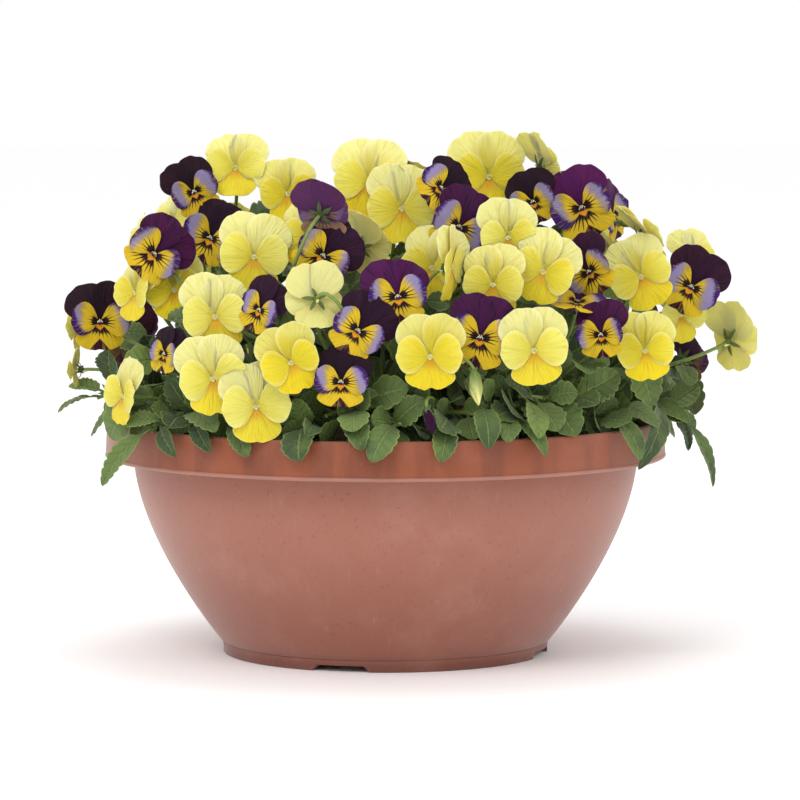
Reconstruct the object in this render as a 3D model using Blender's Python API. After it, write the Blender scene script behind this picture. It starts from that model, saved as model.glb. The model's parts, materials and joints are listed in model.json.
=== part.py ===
# A bowl of horned violets: yellow plants, and dark violet plants with yellow faces,
# in a terracotta-coloured bowl. Metres, +Z up, the front towards -Y.
# The origin lies on the floor under the middle of the whole plant's spread.

import math
import random

import bmesh
import bpy
from mathutils import Matrix, Vector
from mathutils.bvhtree import BVHTree

# Bowl and soil
mm = 0.001
potAxis = Vector((-11.5 * mm, 0, 0))  # the spread leans a little to the right of the bowl's axis
rimRadius = 152.5 * mm
rimHeight = 127.6 * mm
collarHeight = 20.7 * mm
bodyRadius = 137.0 * mm
footRadius = 88.5 * mm
footHeight = 6.5 * mm
wallThickness = 3.0 * mm
recessHeight = 4.0 * mm
floorTop = 7.0 * mm
bodyBulge = 1.65  # power of the bowl's curve
potSides = 28
notchWidth = 31 * mm
notchHeight = 3.3 * mm
notchTurns = (-16, 74, 164, 254)
drainRadius = 5 * mm
drainRing = 52 * mm
soilLevel = 117 * mm
soilCrown = 4 * mm

# Room between two pieces, and the thickness of petals and leaves
clearGap = 0.4 * mm
bladeThickness = 0.7 * mm

# The view that the front of the plant is placed by, in the bowl's own frame
eye = Vector((0, -2242 * mm, 318.8 * mm))
focalPixels = 4131
pictureMiddle = 400
axisPixel = 385.5
eyePitch = math.radians(4.64)

# The mound that the throats of the blooms lie on
moundMiddle = Vector((7 * mm, 0, 112 * mm))
moundWidth = 176 * mm
moundDepth = 160 * mm
moundRise = 150 * mm
moundPower = 2.5  # across and upwards
moundBow = 1.7  # from front to back, where the mound is rounder

# Blooms of the front: throat in the picture (across, down), half width in mm, turn to the right, tilt up,
# roll against the clock, how far nearer the eye in mm, colour, and the letter that touching blooms share
frontBlooms = [
    (235, 168, 16.5, -5, 22, 0, 4, "yellow", "A"),
    (288, 194, 16.0, 5, 15, 5, 0, "yellow", "A"),
    (173, 222, 17.0, -45, 20, 15, 0, "yellow", "B"),
    (125, 250, 14.0, -75, 15, 0, -12, "yellow", "B"),
    (134, 293, 15.0, -50, 8, 0, 2, "yellow", "M"),
    (254, 257, 18.0, 5, 5, -5, 4, "yellow", "L"),
    (215, 317, 17.5, 5, 5, 3, 4, "yellow", "C"),
    (174, 290, 16.0, 0, 10, 5, -22, "yellow", "M"),
    (76, 327, 14.0, -95, 0, 0, -5, "yellow", ""),
    (74, 370, 9.0, -100, -5, 0, 0, "yellow", ""),
    (122, 396, 15.5, -60, 5, -5, 4, "yellow", ""),
    (213, 379, 18.0, 5, 5, 8, 3, "yellow", "D"),
    (264, 412, 18.0, 8, 8, 5, 10, "yellow", "D"),
    (291, 363, 15.5, 0, 5, 22, 0, "yellow", "E"),
    (316, 298, 15.0, -165, -20, 0, -4, "yellow", "E"),
    (402, 209, 18.5, 5, 5, 0, 8, "yellow", "F"),
    (366, 179, 19.0, -5, 15, 0, -6, "yellow", "F"),
    (366, 246, 15.0, 140, 10, 0, -2, "yellow", "F"),
    (306, 238, 15.0, -25, 10, -10, -14, "yellow", "L"),
    (489, 177, 20.0, 5, 10, 2, 3, "yellow", "G"),
    (545, 165, 16.0, 115, 20, 0, -8, "yellow", "G"),
    (543, 272, 17.0, -5, 8, -20, 2, "yellow", "H"),
    (508, 238, 15.5, 15, 0, 0, -12, "yellow", "H"),
    (452, 268, 17.0, 72, -5, 0, 5, "yellow", "I"),
    (500, 288, 16.0, -10, 0, 0, -8, "yellow", "I"),
    (432, 268, 16.5, -15, 5, -5, -4, "yellow", "I"),
    (430, 357, 17.3, 0, 8, 0, 5, "yellow", ""),
    (534, 351, 17.5, 2, 6, 5, 6, "yellow", ""),
    (645, 351, 15.8, 5, 8, 3, 6, "yellow", "J"),
    (682, 315, 15.5, 30, -10, 0, -38, "yellow", ""),
    (641, 277, 17.0, -10, 5, 25, 4, "yellow", "K"),
    (648, 224, 16.5, 105, 35, 0, -6, "yellow", "K"),
    (692, 258, 13.0, 25, 10, 0, -12, "yellow", ""),
    (733, 340, 17.0, 132, 8, 0, 0, "yellow", ""),
    (194, 192, 14.5, 20, 5, 22, 2, "violet", "a"),
    (210, 238, 16.5, -25, 5, -22, 2, "violet", "a"),
    (154, 254, 16.5, -5, 5, -46, 24, "violet", ""),
    (100, 322, 16.5, 15, 5, 0, 4, "violet", ""),
    (259, 310, 13.0, -35, 5, -25, 0, "violet", ""),
    (164, 354, 11.0, -45, 5, -10, 4, "violet", ""),
    (323, 256, 16.5, -15, 5, -42, 4, "violet", "b"),
    (322, 192, 15.0, 160, 15, 0, -6, "violet", "b"),
    (398, 297, 16.5, 5, 15, 8, 0, "violet", "c"),
    (358, 331, 15.5, 0, 5, -38, 4, "violet", "c"),
    (340, 385, 14.5, -5, 10, -5, 6, "violet", "c"),
    (459, 227, 17.0, 10, 5, -32, 4, "violet", "d"),
    (441, 188, 14.0, 20, 10, -60, -4, "violet", "d"),
    (582, 208, 18.0, -5, 5, 24, 4, "violet", "e"),
    (533, 202, 13.5, -15, 5, 20, -6, "violet", "e"),
    (614, 216, 15.0, 62, 5, 20, -22, "violet", ""),
    (480, 338, 17.0, 0, 8, -12, 2, "violet", ""),
    (589, 272, 15.0, -25, 0, 35, -2, "violet", "f"),
    (577, 301, 15.0, 10, 62, -25, 4, "violet", "f"),
    (601, 335, 13.5, -25, 0, 8, -2, "violet", "f"),
    (691, 287, 16.5, -4, 5, -30, 30, "violet", ""),
]

# Bunches of blooms round the back and on top, which the picture doesn't show: azimuth, height in mm,
# tilt of the middle, how many, colour
backBunches = [
    (112, 162, 8, 2, "violet"),
    (146, 160, 8, 2, "yellow"),
    (180, 160, 8, 2, "violet"),
    (212, 160, 8, 2, "yellow"),
    (246, 162, 8, 2, "violet"),
    (124, 212, 18, 3, "yellow"),
    (160, 214, 20, 2, "violet"),
    (194, 212, 20, 2, "yellow"),
    (232, 210, 18, 3, "yellow"),
    (184, 250, 50, 3, "yellow"),
    (112, 254, 60, 2, "violet"),
    (256, 254, 60, 2, "yellow"),
    (0, 256, 66, 2, "yellow"),
]
backSize = 17 * mm
bunchGap = 1.72  # distance between mates in bloom half widths

# Petals: angle from the right; length, half width and half width of the foot in bloom half widths;
# the place of the fullest width, how round the outline is, the layer, the cup of the face,
# the waves and the notch of the tip
petalShapes = {
    "yellow": {
        "upper": dict(angle=63, length=1.27, width=0.62, foot=0.12, fullest=0.62, blunt=0.5,
                      layer=-1, cup=-0.10, wave=0.035, notch=0.0),
        "side": dict(angle=9, length=0.88, width=0.50, foot=0.10, fullest=0.62, blunt=0.5,
                     layer=0, cup=0.05, wave=0.02, notch=0.0),
        "lower": dict(angle=-90, length=0.92, width=0.66, foot=0.08, fullest=0.66, blunt=0.55,
                      layer=0, cup=-0.06, wave=0.03, notch=0.07),
    },
    "violet": {
        "upper": dict(angle=62, length=1.28, width=0.64, foot=0.12, fullest=0.62, blunt=0.5,
                      layer=-1, cup=-0.12, wave=0.045, notch=0.0),
        "side": dict(angle=14, length=0.84, width=0.44, foot=0.09, fullest=0.64, blunt=0.5,
                     layer=0, cup=0.06, wave=0.02, notch=0.0),
        "lower": dict(angle=-90, length=0.80, width=0.66, foot=0.08, fullest=0.66, blunt=0.55,
                      layer=0, cup=-0.03, wave=0.02, notch=0.10),
    },
}
hubShare = 0.125  # throat radius in bloom half widths
hubTip = 1.2 * mm

# Plants: rings of crowns as radius, first azimuth and colours in turn; azimuth 0 is the front, 90 the right
crownRings = [
    (94 * mm, 0, ("yellow", "violet", "yellow", "violet", "yellow", "violet", "yellow", "violet")),
    (38 * mm, 60, ("yellow", "violet", "yellow")),
]
crownRadius = 7.4 * mm
crownDepth = 12 * mm
crownRise = 7 * mm
stemRadius = 1.3 * mm
cupRadius = 2.1 * mm

# Leafy shoots of the front: end in the picture (across, down), then leaves as share along the shoot,
# tip in the picture (across, down) and half width in mm
frontShoots = [
    (153, 426, ((1.0, 102, 486, 6.0), (0.86, 117, 430, 5.5), (0.93, 176, 457, 3.8))),
    (190, 424, ((1.0, 216, 432, 6.0), (0.88, 168, 378, 5.5), (0.94, 208, 451, 4.4))),
    (230, 424, ((1.0, 253, 450, 5.2), (0.88, 226, 398, 5.5))),
    (303, 424, ((1.0, 299, 462, 7.6), (0.93, 321, 438, 4.4), (0.86, 281, 402, 6.0))),
    (350, 416, ((1.0, 362, 451, 5.0), (0.88, 366, 390, 6.0))),
    (400, 424, ((1.0, 372, 462, 6.4), (0.92, 371, 417, 6.5), (0.84, 427, 395, 6.0))),
    (97, 398, ((1.0, 58, 413, 4.8), (0.93, 58, 382, 5.6), (0.86, 102, 347, 7.6))),
    (446, 424, ((1.0, 438, 463, 5.2), (0.88, 433, 405, 5.4))),
    (477, 406, ((1.0, 488, 449, 5.4), (0.88, 462, 380, 6.0))),
    (509, 420, ((1.0, 508, 443, 4.8), (0.93, 546, 457, 4.4))),
    (519, 396, ((1.0, 538, 439, 5.6), (0.88, 500, 382, 6.0))),
    (577, 404, ((1.0, 535, 420, 7.8), (0.90, 618, 376, 7.8), (0.95, 586, 447, 4.8))),
    (610, 428, ((1.0, 628, 471, 6.2), (0.92, 606, 394, 6.8), (0.86, 665, 420, 5.4))),
    (645, 422, ((1.0, 681, 438, 6.4), (0.94, 641, 462, 5.2), (0.88, 621, 380, 5.6))),
    (680, 424, ((1.0, 713, 487, 4.8), (0.95, 692, 449, 5.2), (0.88, 699, 386, 5.4),
                (0.80, 669, 391, 5.2))),
]
frontLeafWiden = 1.12
# Shoots of the back: azimuth, then leaves as share, azimuth off the shoot's, reach, height
# and half width in mm
backShoots = (104, 124, 144, 164, 184, 204, 224, 244, 262)
backLeaves = ((1.0, 2, 162, 112, 6.8), (0.93, 12, 152, 139, 6.6), (0.86, -12, 150, 150, 6.8))
shootRing = 139 * mm
overShoots = (0, 14)  # the two that reach over the rim
overRing = 155 * mm
hangRing = 160 * mm
# Leaves on the flower stems: how high, how many stems to a leaf, and the rise of the leaf
innerLeaves = (
    dict(share=0.55, every=7, first=1, rise=(0.1, 0.6)),
    dict(share=0.24, every=7, first=0, rise=(0.3, 0.9)),
)
innerLength = 34 * mm
innerWidth = 7.4 * mm
petioleShare = 0.24
petioleHalf = 0.7 * mm
leafFullest = 0.60
leafBlunt = 0.58


# Placing by the picture

def sightLine(across, down):
    yaw = math.atan((pictureMiddle - axisPixel) / focalPixels)
    level = math.cos(eyePitch)
    forward = Vector((math.sin(yaw) * level, math.cos(yaw) * level, -math.sin(eyePitch)))
    right = forward.cross(Vector((0, 0, 1))).normalized()
    up = right.cross(forward)
    x = (across - pictureMiddle) / focalPixels
    y = (pictureMiddle - down) / focalPixels
    return (forward + right * x + up * y).normalized()


# Where a line of sight first meets the mound, or passes nearest to it
def meetMound(across, down):
    line = sightLine(across, down)
    start = (abs(eye.y) - moundDepth - 20 * mm) / line.y
    nearest = None
    for step in range(380):
        point = eye + line * (start + step * mm)
        x = abs(point.x - moundMiddle.x) / moundWidth
        y = abs(point.y - moundMiddle.y) / moundDepth
        z = max(point.z - moundMiddle.z, 0) / moundRise
        level = x ** moundPower + y ** moundBow + z ** moundPower
        if level <= 1:
            return point
        if nearest is None or level < nearest[0]:
            nearest = (level, point)
    return nearest[1]


# Point of a line of sight at a depth
def meetDepth(across, down, y):
    line = sightLine(across, down)
    return eye + line * ((y - eye.y) / line.y)


# Where a line of sight first meets an upright cylinder round the bowl's axis, or passes nearest to it
def meetRing(across, down, radius):
    line = sightLine(across, down)
    a = line.x ** 2 + line.y ** 2
    b = eye.x * line.x + eye.y * line.y
    c = eye.x ** 2 + eye.y ** 2 - radius ** 2
    inside = b * b - a * c
    return eye + line * ((-b - math.sqrt(max(inside, 0))) / a)


def roundAxis(azimuth, reach, height):
    a = math.radians(azimuth)
    return Vector((reach * math.sin(a), -reach * math.cos(a), height))


# The mound's surface at this azimuth and height
def onMound(azimuth, height):
    share = max(height - moundMiddle.z, 0) / moundRise
    room = 1 - share ** moundPower
    reach = moundWidth
    while True:
        point = roundAxis(azimuth, reach, height)
        if abs(point.x / moundWidth) ** moundPower + abs(point.y / moundDepth) ** moundBow <= room:
            return point + Vector((moundMiddle.x, 0, 0))
        reach -= 1 * mm


# Rotation of a bloom: x to its right, y up its face, z the way it looks
def facing(turn, tilt, roll):
    a, e = math.radians(turn), math.radians(tilt)
    look = Vector((math.sin(a) * math.cos(e), -math.cos(a) * math.cos(e), math.sin(e)))
    right = Vector((0, 0, 1)).cross(look).normalized()
    up = look.cross(right)
    frame = Matrix((right, up, look)).transposed()
    return frame.to_4x4() @ Matrix.Rotation(math.radians(roll), 4, "Z")


# Petals and blooms

# Point of a petal's face: across from -1 to 1, along from 0 at the throat to 1 at the tip
def petalPoint(shape, across, along, size, waves):
    power = math.log(0.5) / math.log(shape["fullest"])
    half = shape["foot"] * (1 - along)
    if 0 < along < 1:
        half += shape["width"] * math.sin(math.pi * along ** power) ** shape["blunt"]
    side = across * half
    reach = hubShare + along * shape["length"]
    reach -= shape["notch"] * math.exp(-((side / 0.13) ** 2)) * max(0, along - 0.6) * 2.5
    rise = shape["cup"] * reach * reach
    rise += shape["wave"] * along ** 3 * math.sin(waves[0] + side * 6.5 + waves[1] * along)
    a = math.radians(shape["angle"])
    x = reach * math.cos(a) - side * math.sin(a)
    y = reach * math.sin(a) + side * math.cos(a)
    return Vector((x * size, y * size, rise * size + shape["layer"] * bladeThickness))


# Corners of each petal in the bloom's facets
petalCorners = {
    "upper": ((-1.03, 0.42), (-1.05, 0.80), (-0.1, 1.01)),
    "side": ((-1.03, 0.52), (-0.15, 1.02), (1.05, 0.62)),
    "lower": ((-1.03, 0.56), (-0.85, 0.94), (0.85, 0.94), (1.03, 0.56)),
}
notchCorner = (1, 0.80)


# One closed bloom: blades for the upper pair, the side petals and the lip, grown from a four-sided throat
def bloomMesh(kind, size, waves, margin=0.0):
    shapes = petalShapes[kind]
    grow = 1 + margin / size
    half = bladeThickness / 2 + margin
    hub = (hubShare * size + margin) * 1.1
    levels = (-bladeThickness - half, -bladeThickness / 2, half)
    verts, faces, rings = [], [], []
    for level in levels:
        rings.append([len(verts) + k for k in range(4)])
        for k in range(4):
            a = math.radians(45 + 90 * k)
            verts.append(Vector((hub * math.cos(a), hub * math.sin(a), level)))
    verts.append(Vector((0, 0, levels[0] - hubTip - margin)))
    tip = len(verts) - 1

    # A blade on the throat's side from this corner to the next, fanned out from the corner
    def blade(band, corner, points):
        low, high = rings[band], rings[band + 1]
        after = (corner + 1) % 4
        top, bottom = [], []
        for point in points:
            spread = Vector((point.x * grow, point.y * grow, point.z))
            top.append(len(verts))
            verts.append(spread + Vector((0, 0, half)))
            bottom.append(len(verts))
            verts.append(spread - Vector((0, 0, half)))
        rim = [high[corner]] + top + [high[after]]
        under = [low[corner]] + bottom + [low[after]]
        for a, b, c, d in zip(rim, rim[1:], under, under[1:]):
            if a != high[corner]:
                faces.append((high[corner], a, b))
                faces.append((low[corner], d, c))
            faces.append((a, c, b))
            faces.append((b, c, d))

    def curve(name, wave):
        return [petalPoint(shapes[name], u, v, size, wave) for u, v in petalCorners[name]]

    def mirrored(points):
        return [Vector((-p.x, p.y, p.z)) for p in reversed(points)]

    otherWaves = (waves[0] + 1.7, waves[1] + 0.9)
    notch = petalPoint(shapes["upper"], *notchCorner, size, waves)
    notch.x = 0
    blade(0, 0, curve("upper", waves) + [notch] + mirrored(curve("upper", otherWaves)))
    blade(1, 3, curve("side", waves))
    blade(1, 1, mirrored(curve("side", otherWaves)))
    blade(1, 2, curve("lower", waves))
    for band, free in ((0, (1, 2, 3)), (1, (0,))):
        for k in free:
            a, b = rings[band][k], rings[band][(k + 1) % 4]
            c, d = rings[band + 1][(k + 1) % 4], rings[band + 1][k]
            faces.append((a, b, c))
            faces.append((a, c, d))
    for k in range(4):
        faces.append((rings[0][(k + 1) % 4], rings[0][k], tip))
    faces.append((rings[2][0], rings[2][1], rings[2][2]))
    faces.append((rings[2][0], rings[2][2], rings[2][3]))
    return verts, faces


# Stems and leaves

def bezier(points, t):
    a, b, c, d = points
    s = 1 - t
    return a * s ** 3 + b * 3 * s * s * t + c * 3 * s * t * t + d * t ** 3


def tubeMesh(path, radii, sides):
    verts, faces = [], []
    side = None
    for i, point in enumerate(path):
        ahead = path[min(i + 1, len(path) - 1)] - path[max(i - 1, 0)]
        ahead.normalize()
        if side is None:
            side = ahead.orthogonal().normalized()
        side = (side - ahead * side.dot(ahead)).normalized()
        other = ahead.cross(side)
        for k in range(sides):
            a = 2 * math.pi * k / sides
            verts.append(point + (side * math.cos(a) + other * math.sin(a)) * radii[i])
    for i in range(len(path) - 1):
        for k in range(sides):
            n = (k + 1) % sides
            a, b = i * sides + k, i * sides + n
            faces.append((a, b, b + sides))
            faces.append((a, b + sides, a + sides))
    last = (len(path) - 1) * sides
    for k in range(1, sides - 1):
        faces.append((0, k + 1, k))
        faces.append((last, last + k, last + k + 1))
    return verts, faces


# Points along a flower stem, the last stretch being the green cup behind the bloom
def stemPath(curve, steps):
    end = bezier(curve, 1.0)
    straight = (end - bezier(curve, 0.97)).normalized()
    points = [bezier(curve, t / (steps - 1) * 0.92) for t in range(steps - 1)]
    return points + [end - straight * 3.2 * mm, end]


def stemRadii(steps, margin=0.0):
    thin = stemRadius * 0.85
    radii = [stemRadius + (thin - stemRadius) * t / (steps - 1) + margin for t in range(steps - 1)]
    return radii + [thin + margin, cupRadius + margin * 0.3]


def growthPath(stem, curve):
    if stem:
        return stemPath(curve, 3 if (curve[3] - curve[0]).length < 92 * mm else 4)
    return [bezier(curve, t / 3) for t in range(4)]


def growthMesh(stem, curve, margin=0.0):
    path = growthPath(stem, curve)
    radii = stemRadii(len(path) - 1, margin) if stem else [stemRadius + margin] * len(path)
    return tubeMesh(path, radii, 3)


# Point of a path at a share of its length
def alongPath(path, share):
    lengths = [(b - a).length for a, b in zip(path, path[1:])]
    left = share * sum(lengths)
    for a, b, length in zip(path, path[1:], lengths):
        if left <= length:
            return a + (b - a) * (left / length)
        left -= length
    return path[-1].copy()


# A leaf that runs in a bow from its base to its tip, its upper face turned towards the given way
def makeLeaf(base, tip, width, way, droop, fold, wave, phase):
    chord = tip - base
    c = chord.normalized()
    n = (way - c * way.dot(c)).normalized()
    y = c * math.cos(droop / 2) + n * math.sin(droop / 2)
    z = n * math.cos(droop / 2) - c * math.sin(droop / 2)
    frame = Matrix((y.cross(z), y, z)).transposed().to_4x4()
    frame.translation = base
    length = chord.length * (droop / 2) / math.sin(droop / 2)
    return dict(frame=frame, length=length, width=width, droop=droop, fold=fold, wave=wave, phase=phase)


# Point of a leaf's face in its own frame: y along the rib, x across, z up
def leafPoint(leaf, across, along):
    half = petioleHalf
    if along > petioleShare:
        s = (along - petioleShare) / (1 - petioleShare)
        power = math.log(0.5) / math.log(leafFullest)
        half = petioleHalf * (1 - s)
        if s < 1:
            half += leaf["width"] * math.sin(math.pi * s ** power) ** leafBlunt
    side = across * half
    bow = leaf["length"] / leaf["droop"]
    y = bow * math.sin(along * leaf["droop"])
    z = -bow * (1 - math.cos(along * leaf["droop"]))
    z += leaf["fold"] * abs(side) + leaf["wave"] * math.sin(along * 9 + leaf["phase"]) * side
    return Vector((side, y, z))


leafCorners = ((1, 0.0), (1, 0.45), (0.82, 0.66), (1.06, 0.82))
leafRib = 0.62


# One closed leaf on its own narrow stalk, with a notch in each edge between two of its rounded teeth
def leafMesh(leaf, margin=0.0):
    verts, faces = [], []
    half = bladeThickness / 2 + margin
    spread = 1 + margin / leaf["width"]

    def put(point):
        verts.append(leaf["frame"] @ Vector((point.x * spread, point.y, point.z + half)))
        verts.append(leaf["frame"] @ Vector((point.x * spread, point.y, point.z - half)))
        return len(verts) - 2

    def sheet(a, b, c):
        faces.append((a, b, c))
        faces.append((a + 1, c + 1, b + 1))

    right = [put(leafPoint(leaf, u, v)) for u, v in leafCorners]
    tip = put(leafPoint(leaf, 0, 1 + margin / leaf["length"]))
    left = [put(leafPoint(leaf, -u, v)) for u, v in leafCorners]
    rib = put(leafPoint(leaf, 0, leafRib))
    sheet(right[0], rib, left[0])
    for side, flip in ((right, False), (left, True)):
        edge = side + [tip]
        for a, b in zip(edge, edge[1:]):
            sheet(a, rib, b) if flip else sheet(a, b, rib)
    loop = right + [tip] + left[::-1]
    for a, b in zip(loop, loop[1:] + loop[:1]):
        faces.append((a, a + 1, b))
        faces.append((b, a + 1, b + 1))
    return verts, faces


# Keeping pieces clear of each other

class Crowd:
    def __init__(self):
        self.pieces = []

    @staticmethod
    def outline(mesh):
        verts, faces = mesh
        low = [min(v[i] for v in verts) for i in range(3)]
        high = [max(v[i] for v in verts) for i in range(3)]
        return low, high, BVHTree.FromPolygons([tuple(v) for v in verts], faces)

    def add(self, node, tag, mesh):
        self.pieces.append((node, tag, self.outline(mesh)))

    # How many pairs of facets cross, of the mesh and of the placed pieces that counts(node, tag) picks
    def meets(self, mesh, counts, every=False):
        low, high, tree = self.outline(mesh)
        pairs = 0
        for node, tag, (low2, high2, tree2) in self.pieces:
            if not counts(node, tag):
                continue
            if any(low[i] > high2[i] or high[i] < low2[i] for i in range(3)):
                continue
            pairs += len(tree.overlap(tree2))
            if pairs and not every:
                return pairs
        return pairs


def moved(mesh, matrix):
    verts, faces = mesh
    return [matrix @ v for v in verts], faces


# Bowl and soil

# Outer radius of the bowl's wall between its foot and its collar
def bowlRadius(z):
    share = (z - footHeight) / (rimHeight - collarHeight - footHeight)
    return bodyRadius - (bodyRadius - footRadius - 1.1 * mm) * max(0.0, 1 - share) ** bodyBulge


# A closed turned solid; the profile runs from the axis on top, round the outside, to the axis below
def turnedMesh(profile, sides):
    verts, faces, rings = [], [], []
    for r, z in profile:
        count = 1 if r < 1e-6 else sides
        rings.append([len(verts) + k for k in range(count)])
        for k in range(count):
            a = 2 * math.pi * k / sides
            verts.append(Vector((r * math.cos(a), r * math.sin(a), z)))
    for one, two in zip(rings, rings[1:]):
        for k in range(sides):
            n = (k + 1) % sides
            if len(one) == 1:
                faces.append((one[0], two[k], two[n]))
            elif len(two) == 1:
                faces.append((one[k], two[0], one[n]))
            else:
                faces.append((one[k], two[k], two[n]))
                faces.append((one[k], two[n], one[n]))
    return verts, faces


wallHeights = (20 * mm, 48 * mm, 80 * mm)


def potProfile():
    shoulder = rimHeight - collarHeight
    collarInner = rimRadius - wallThickness - 1.2 * mm
    inner = [(bowlRadius(z) - wallThickness, z) for z in wallHeights]
    profile = [(0, floorTop), (bowlRadius(floorTop) - wallThickness - 1 * mm, floorTop)] + inner
    profile += [(bodyRadius - wallThickness, shoulder + wallThickness)]
    profile += [(collarInner, shoulder + wallThickness)]
    profile += [(collarInner, rimHeight), (rimRadius - 1.2 * mm, rimHeight), (rimRadius, shoulder)]
    profile += [(bodyRadius, shoulder)]
    profile += [(bowlRadius(z), z) for z in wallHeights[::-1]]
    profile += [(footRadius + 1.1 * mm, footHeight), (footRadius, footHeight - 0.8 * mm), (footRadius, 0)]
    profile += [(footRadius - 5 * mm, 0), (footRadius - 6 * mm, recessHeight), (0, recessHeight)]
    return profile


def soilProfile():
    shoulder = rimHeight - collarHeight
    collarInner = rimRadius - wallThickness - 1.2 * mm - clearGap
    top = [(0, soilLevel + soilCrown), (75 * mm, soilLevel + soilCrown * 0.6)]
    top += [(collarInner, soilLevel - 2 * mm), (collarInner, shoulder + wallThickness + clearGap)]
    body = [(bodyRadius - wallThickness - clearGap * 1.2, shoulder + wallThickness + clearGap)]
    body += [(bowlRadius(z) - wallThickness - clearGap * 1.2, z) for z in wallHeights[::-1]]
    low = bowlRadius(floorTop) - wallThickness - 1 * mm - clearGap * 2
    return top + body + [(low, floorTop + clearGap), (0, floorTop + clearGap)]


def soilHeight(x, y):
    r = math.hypot(x, y)
    return soilLevel + soilCrown * max(0, 1 - (r / (120 * mm)) ** 2)


# Laying out the plant

def layCrowns():
    crowns = []
    count = {"yellow": 0, "violet": 0}
    for radius, first, colours in crownRings:
        for k, kind in enumerate(colours):
            foot = roundAxis(first + 360 / len(colours) * k, radius, 0)
            foot.z = soilHeight(foot.x, foot.y)
            count[kind] += 1
            crowns.append(dict(kind=kind, foot=foot, node=f"{kind}_plant_{count[kind]:02d}", growths=[]))
    return crowns


def crownMesh(crown):
    foot = crown["foot"]
    path = [foot - Vector((0, 0, crownDepth)), foot + Vector((0, 0, crownRise))]
    return tubeMesh(path, [crownRadius] * 2, 6)


# Every bloom where it is first wished for
def wishedBlooms():
    wishes = []
    for across, down, half, turn, tilt, roll, ahead, kind, group in frontBlooms:
        line = sightLine(across, down)
        wishes.append(dict(place=meetMound(across, down) - line * ahead * mm, slide=-line, size=half * mm,
                           turn=turn, tilt=tilt, roll=roll, kind=kind, group=group))
    for number, (azimuth, height, tilt, mates, kind) in enumerate(backBunches):
        middle = facing(azimuth, tilt, 0)
        centre = onMound(azimuth, height * mm)
        out = middle.to_3x3() @ Vector((0, 0, 1))
        for k in range(mates):
            draw = random.Random(900 + len(wishes))
            a = math.radians((20 if mates == 2 else 90) + 360 / mates * k + draw.uniform(-8, 8))
            far = 0.5 if mates == 2 else 0.577
            aside = Vector((math.cos(a), math.sin(a), 0)) * backSize * bunchGap * far
            wishes.append(dict(place=centre + middle.to_3x3() @ aside - out * 5 * mm, slide=out,
                               size=backSize * draw.uniform(0.88, 1.08), turn=azimuth + draw.uniform(-20, 20),
                               tilt=tilt + draw.uniform(-6, 14), roll=draw.uniform(-25, 25), kind=kind,
                               group=f"bunch {number}"))
    return wishes


# Small turns and pulls towards the mate, the smallest first, and moves along the line of sight
swings = ((0, 0), (10, 0), (-10, 0), (0, 12), (0, -12), (16, 12), (-16, -12), (24, 0), (-24, 0))
pulls = (0, 0.05, 0.1, 0.15, 0.2, 0.26, 0.33, 0.4)
slides = [0] + [sign * 1.5 * mm * k for k in range(1, 32) for sign in (1, -1)]


# The best place for a bloom: clear of other nodes and, with a mate, crossing it as little as can be
def placeBloom(crowd, wish, node, mate, exact, wide):
    towards = mate["place"] - wish["place"] if mate else Vector((0, 0, 0))
    for swing in swings:
        turn = facing(wish["turn"] + swing[0], wish["tilt"], wish["roll"] + swing[1])
        for pull in pulls if mate else (0,):
            found = []
            for slide in slides:
                matrix = Matrix.Translation(wish["place"] + wish["slide"] * slide + towards * pull) @ turn
                if crowd.meets(moved(wide, matrix), lambda n, t: n != node):
                    continue
                if not mate:
                    return matrix
                pairs = crowd.meets(moved(exact, matrix), lambda n, t: n == node, True)
                if pairs:
                    found.append((pairs + abs(slide) / (1.5 * mm), len(found), matrix))
            if found:
                return min(found)[2]
    return None


# Moves each wished bloom until it is clear of other nodes and, in a group, grows into its mate
def layBlooms(crowd):
    blooms = []
    count = {"yellow": 0, "violet": 0}
    for number, wish in enumerate(wishedBlooms()):
        draw = random.Random(100 + number)
        waves = (draw.uniform(0, 6.28), draw.uniform(0, 3.0))
        mates = [b for b in blooms if b["group"] == wish["group"]] if wish["group"] else []
        mate = min(mates, key=lambda b: (b["place"] - wish["place"]).length, default=None)
        if not mate:
            count[wish["kind"]] += 1
        node = mate["node"] if mate else f"{wish['kind']}_bloom_{count[wish['kind']]:02d}"
        exact = bloomMesh(wish["kind"], wish["size"], waves)
        wide = bloomMesh(wish["kind"], wish["size"], waves, 0.35 * mm)
        matrix = placeBloom(crowd, wish, node, mate, exact, wide)
        if not matrix:
            print(f"no room for bloom {number} of {wish['kind']}, group {wish['group']!r}")
            continue
        crowd.add(node, f"bloom{number}", moved(exact, matrix))
        place = matrix.translation.copy()
        blooms.append(dict(wish, number=number, node=node, place=place, matrix=matrix, waves=waves))
    return blooms


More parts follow.
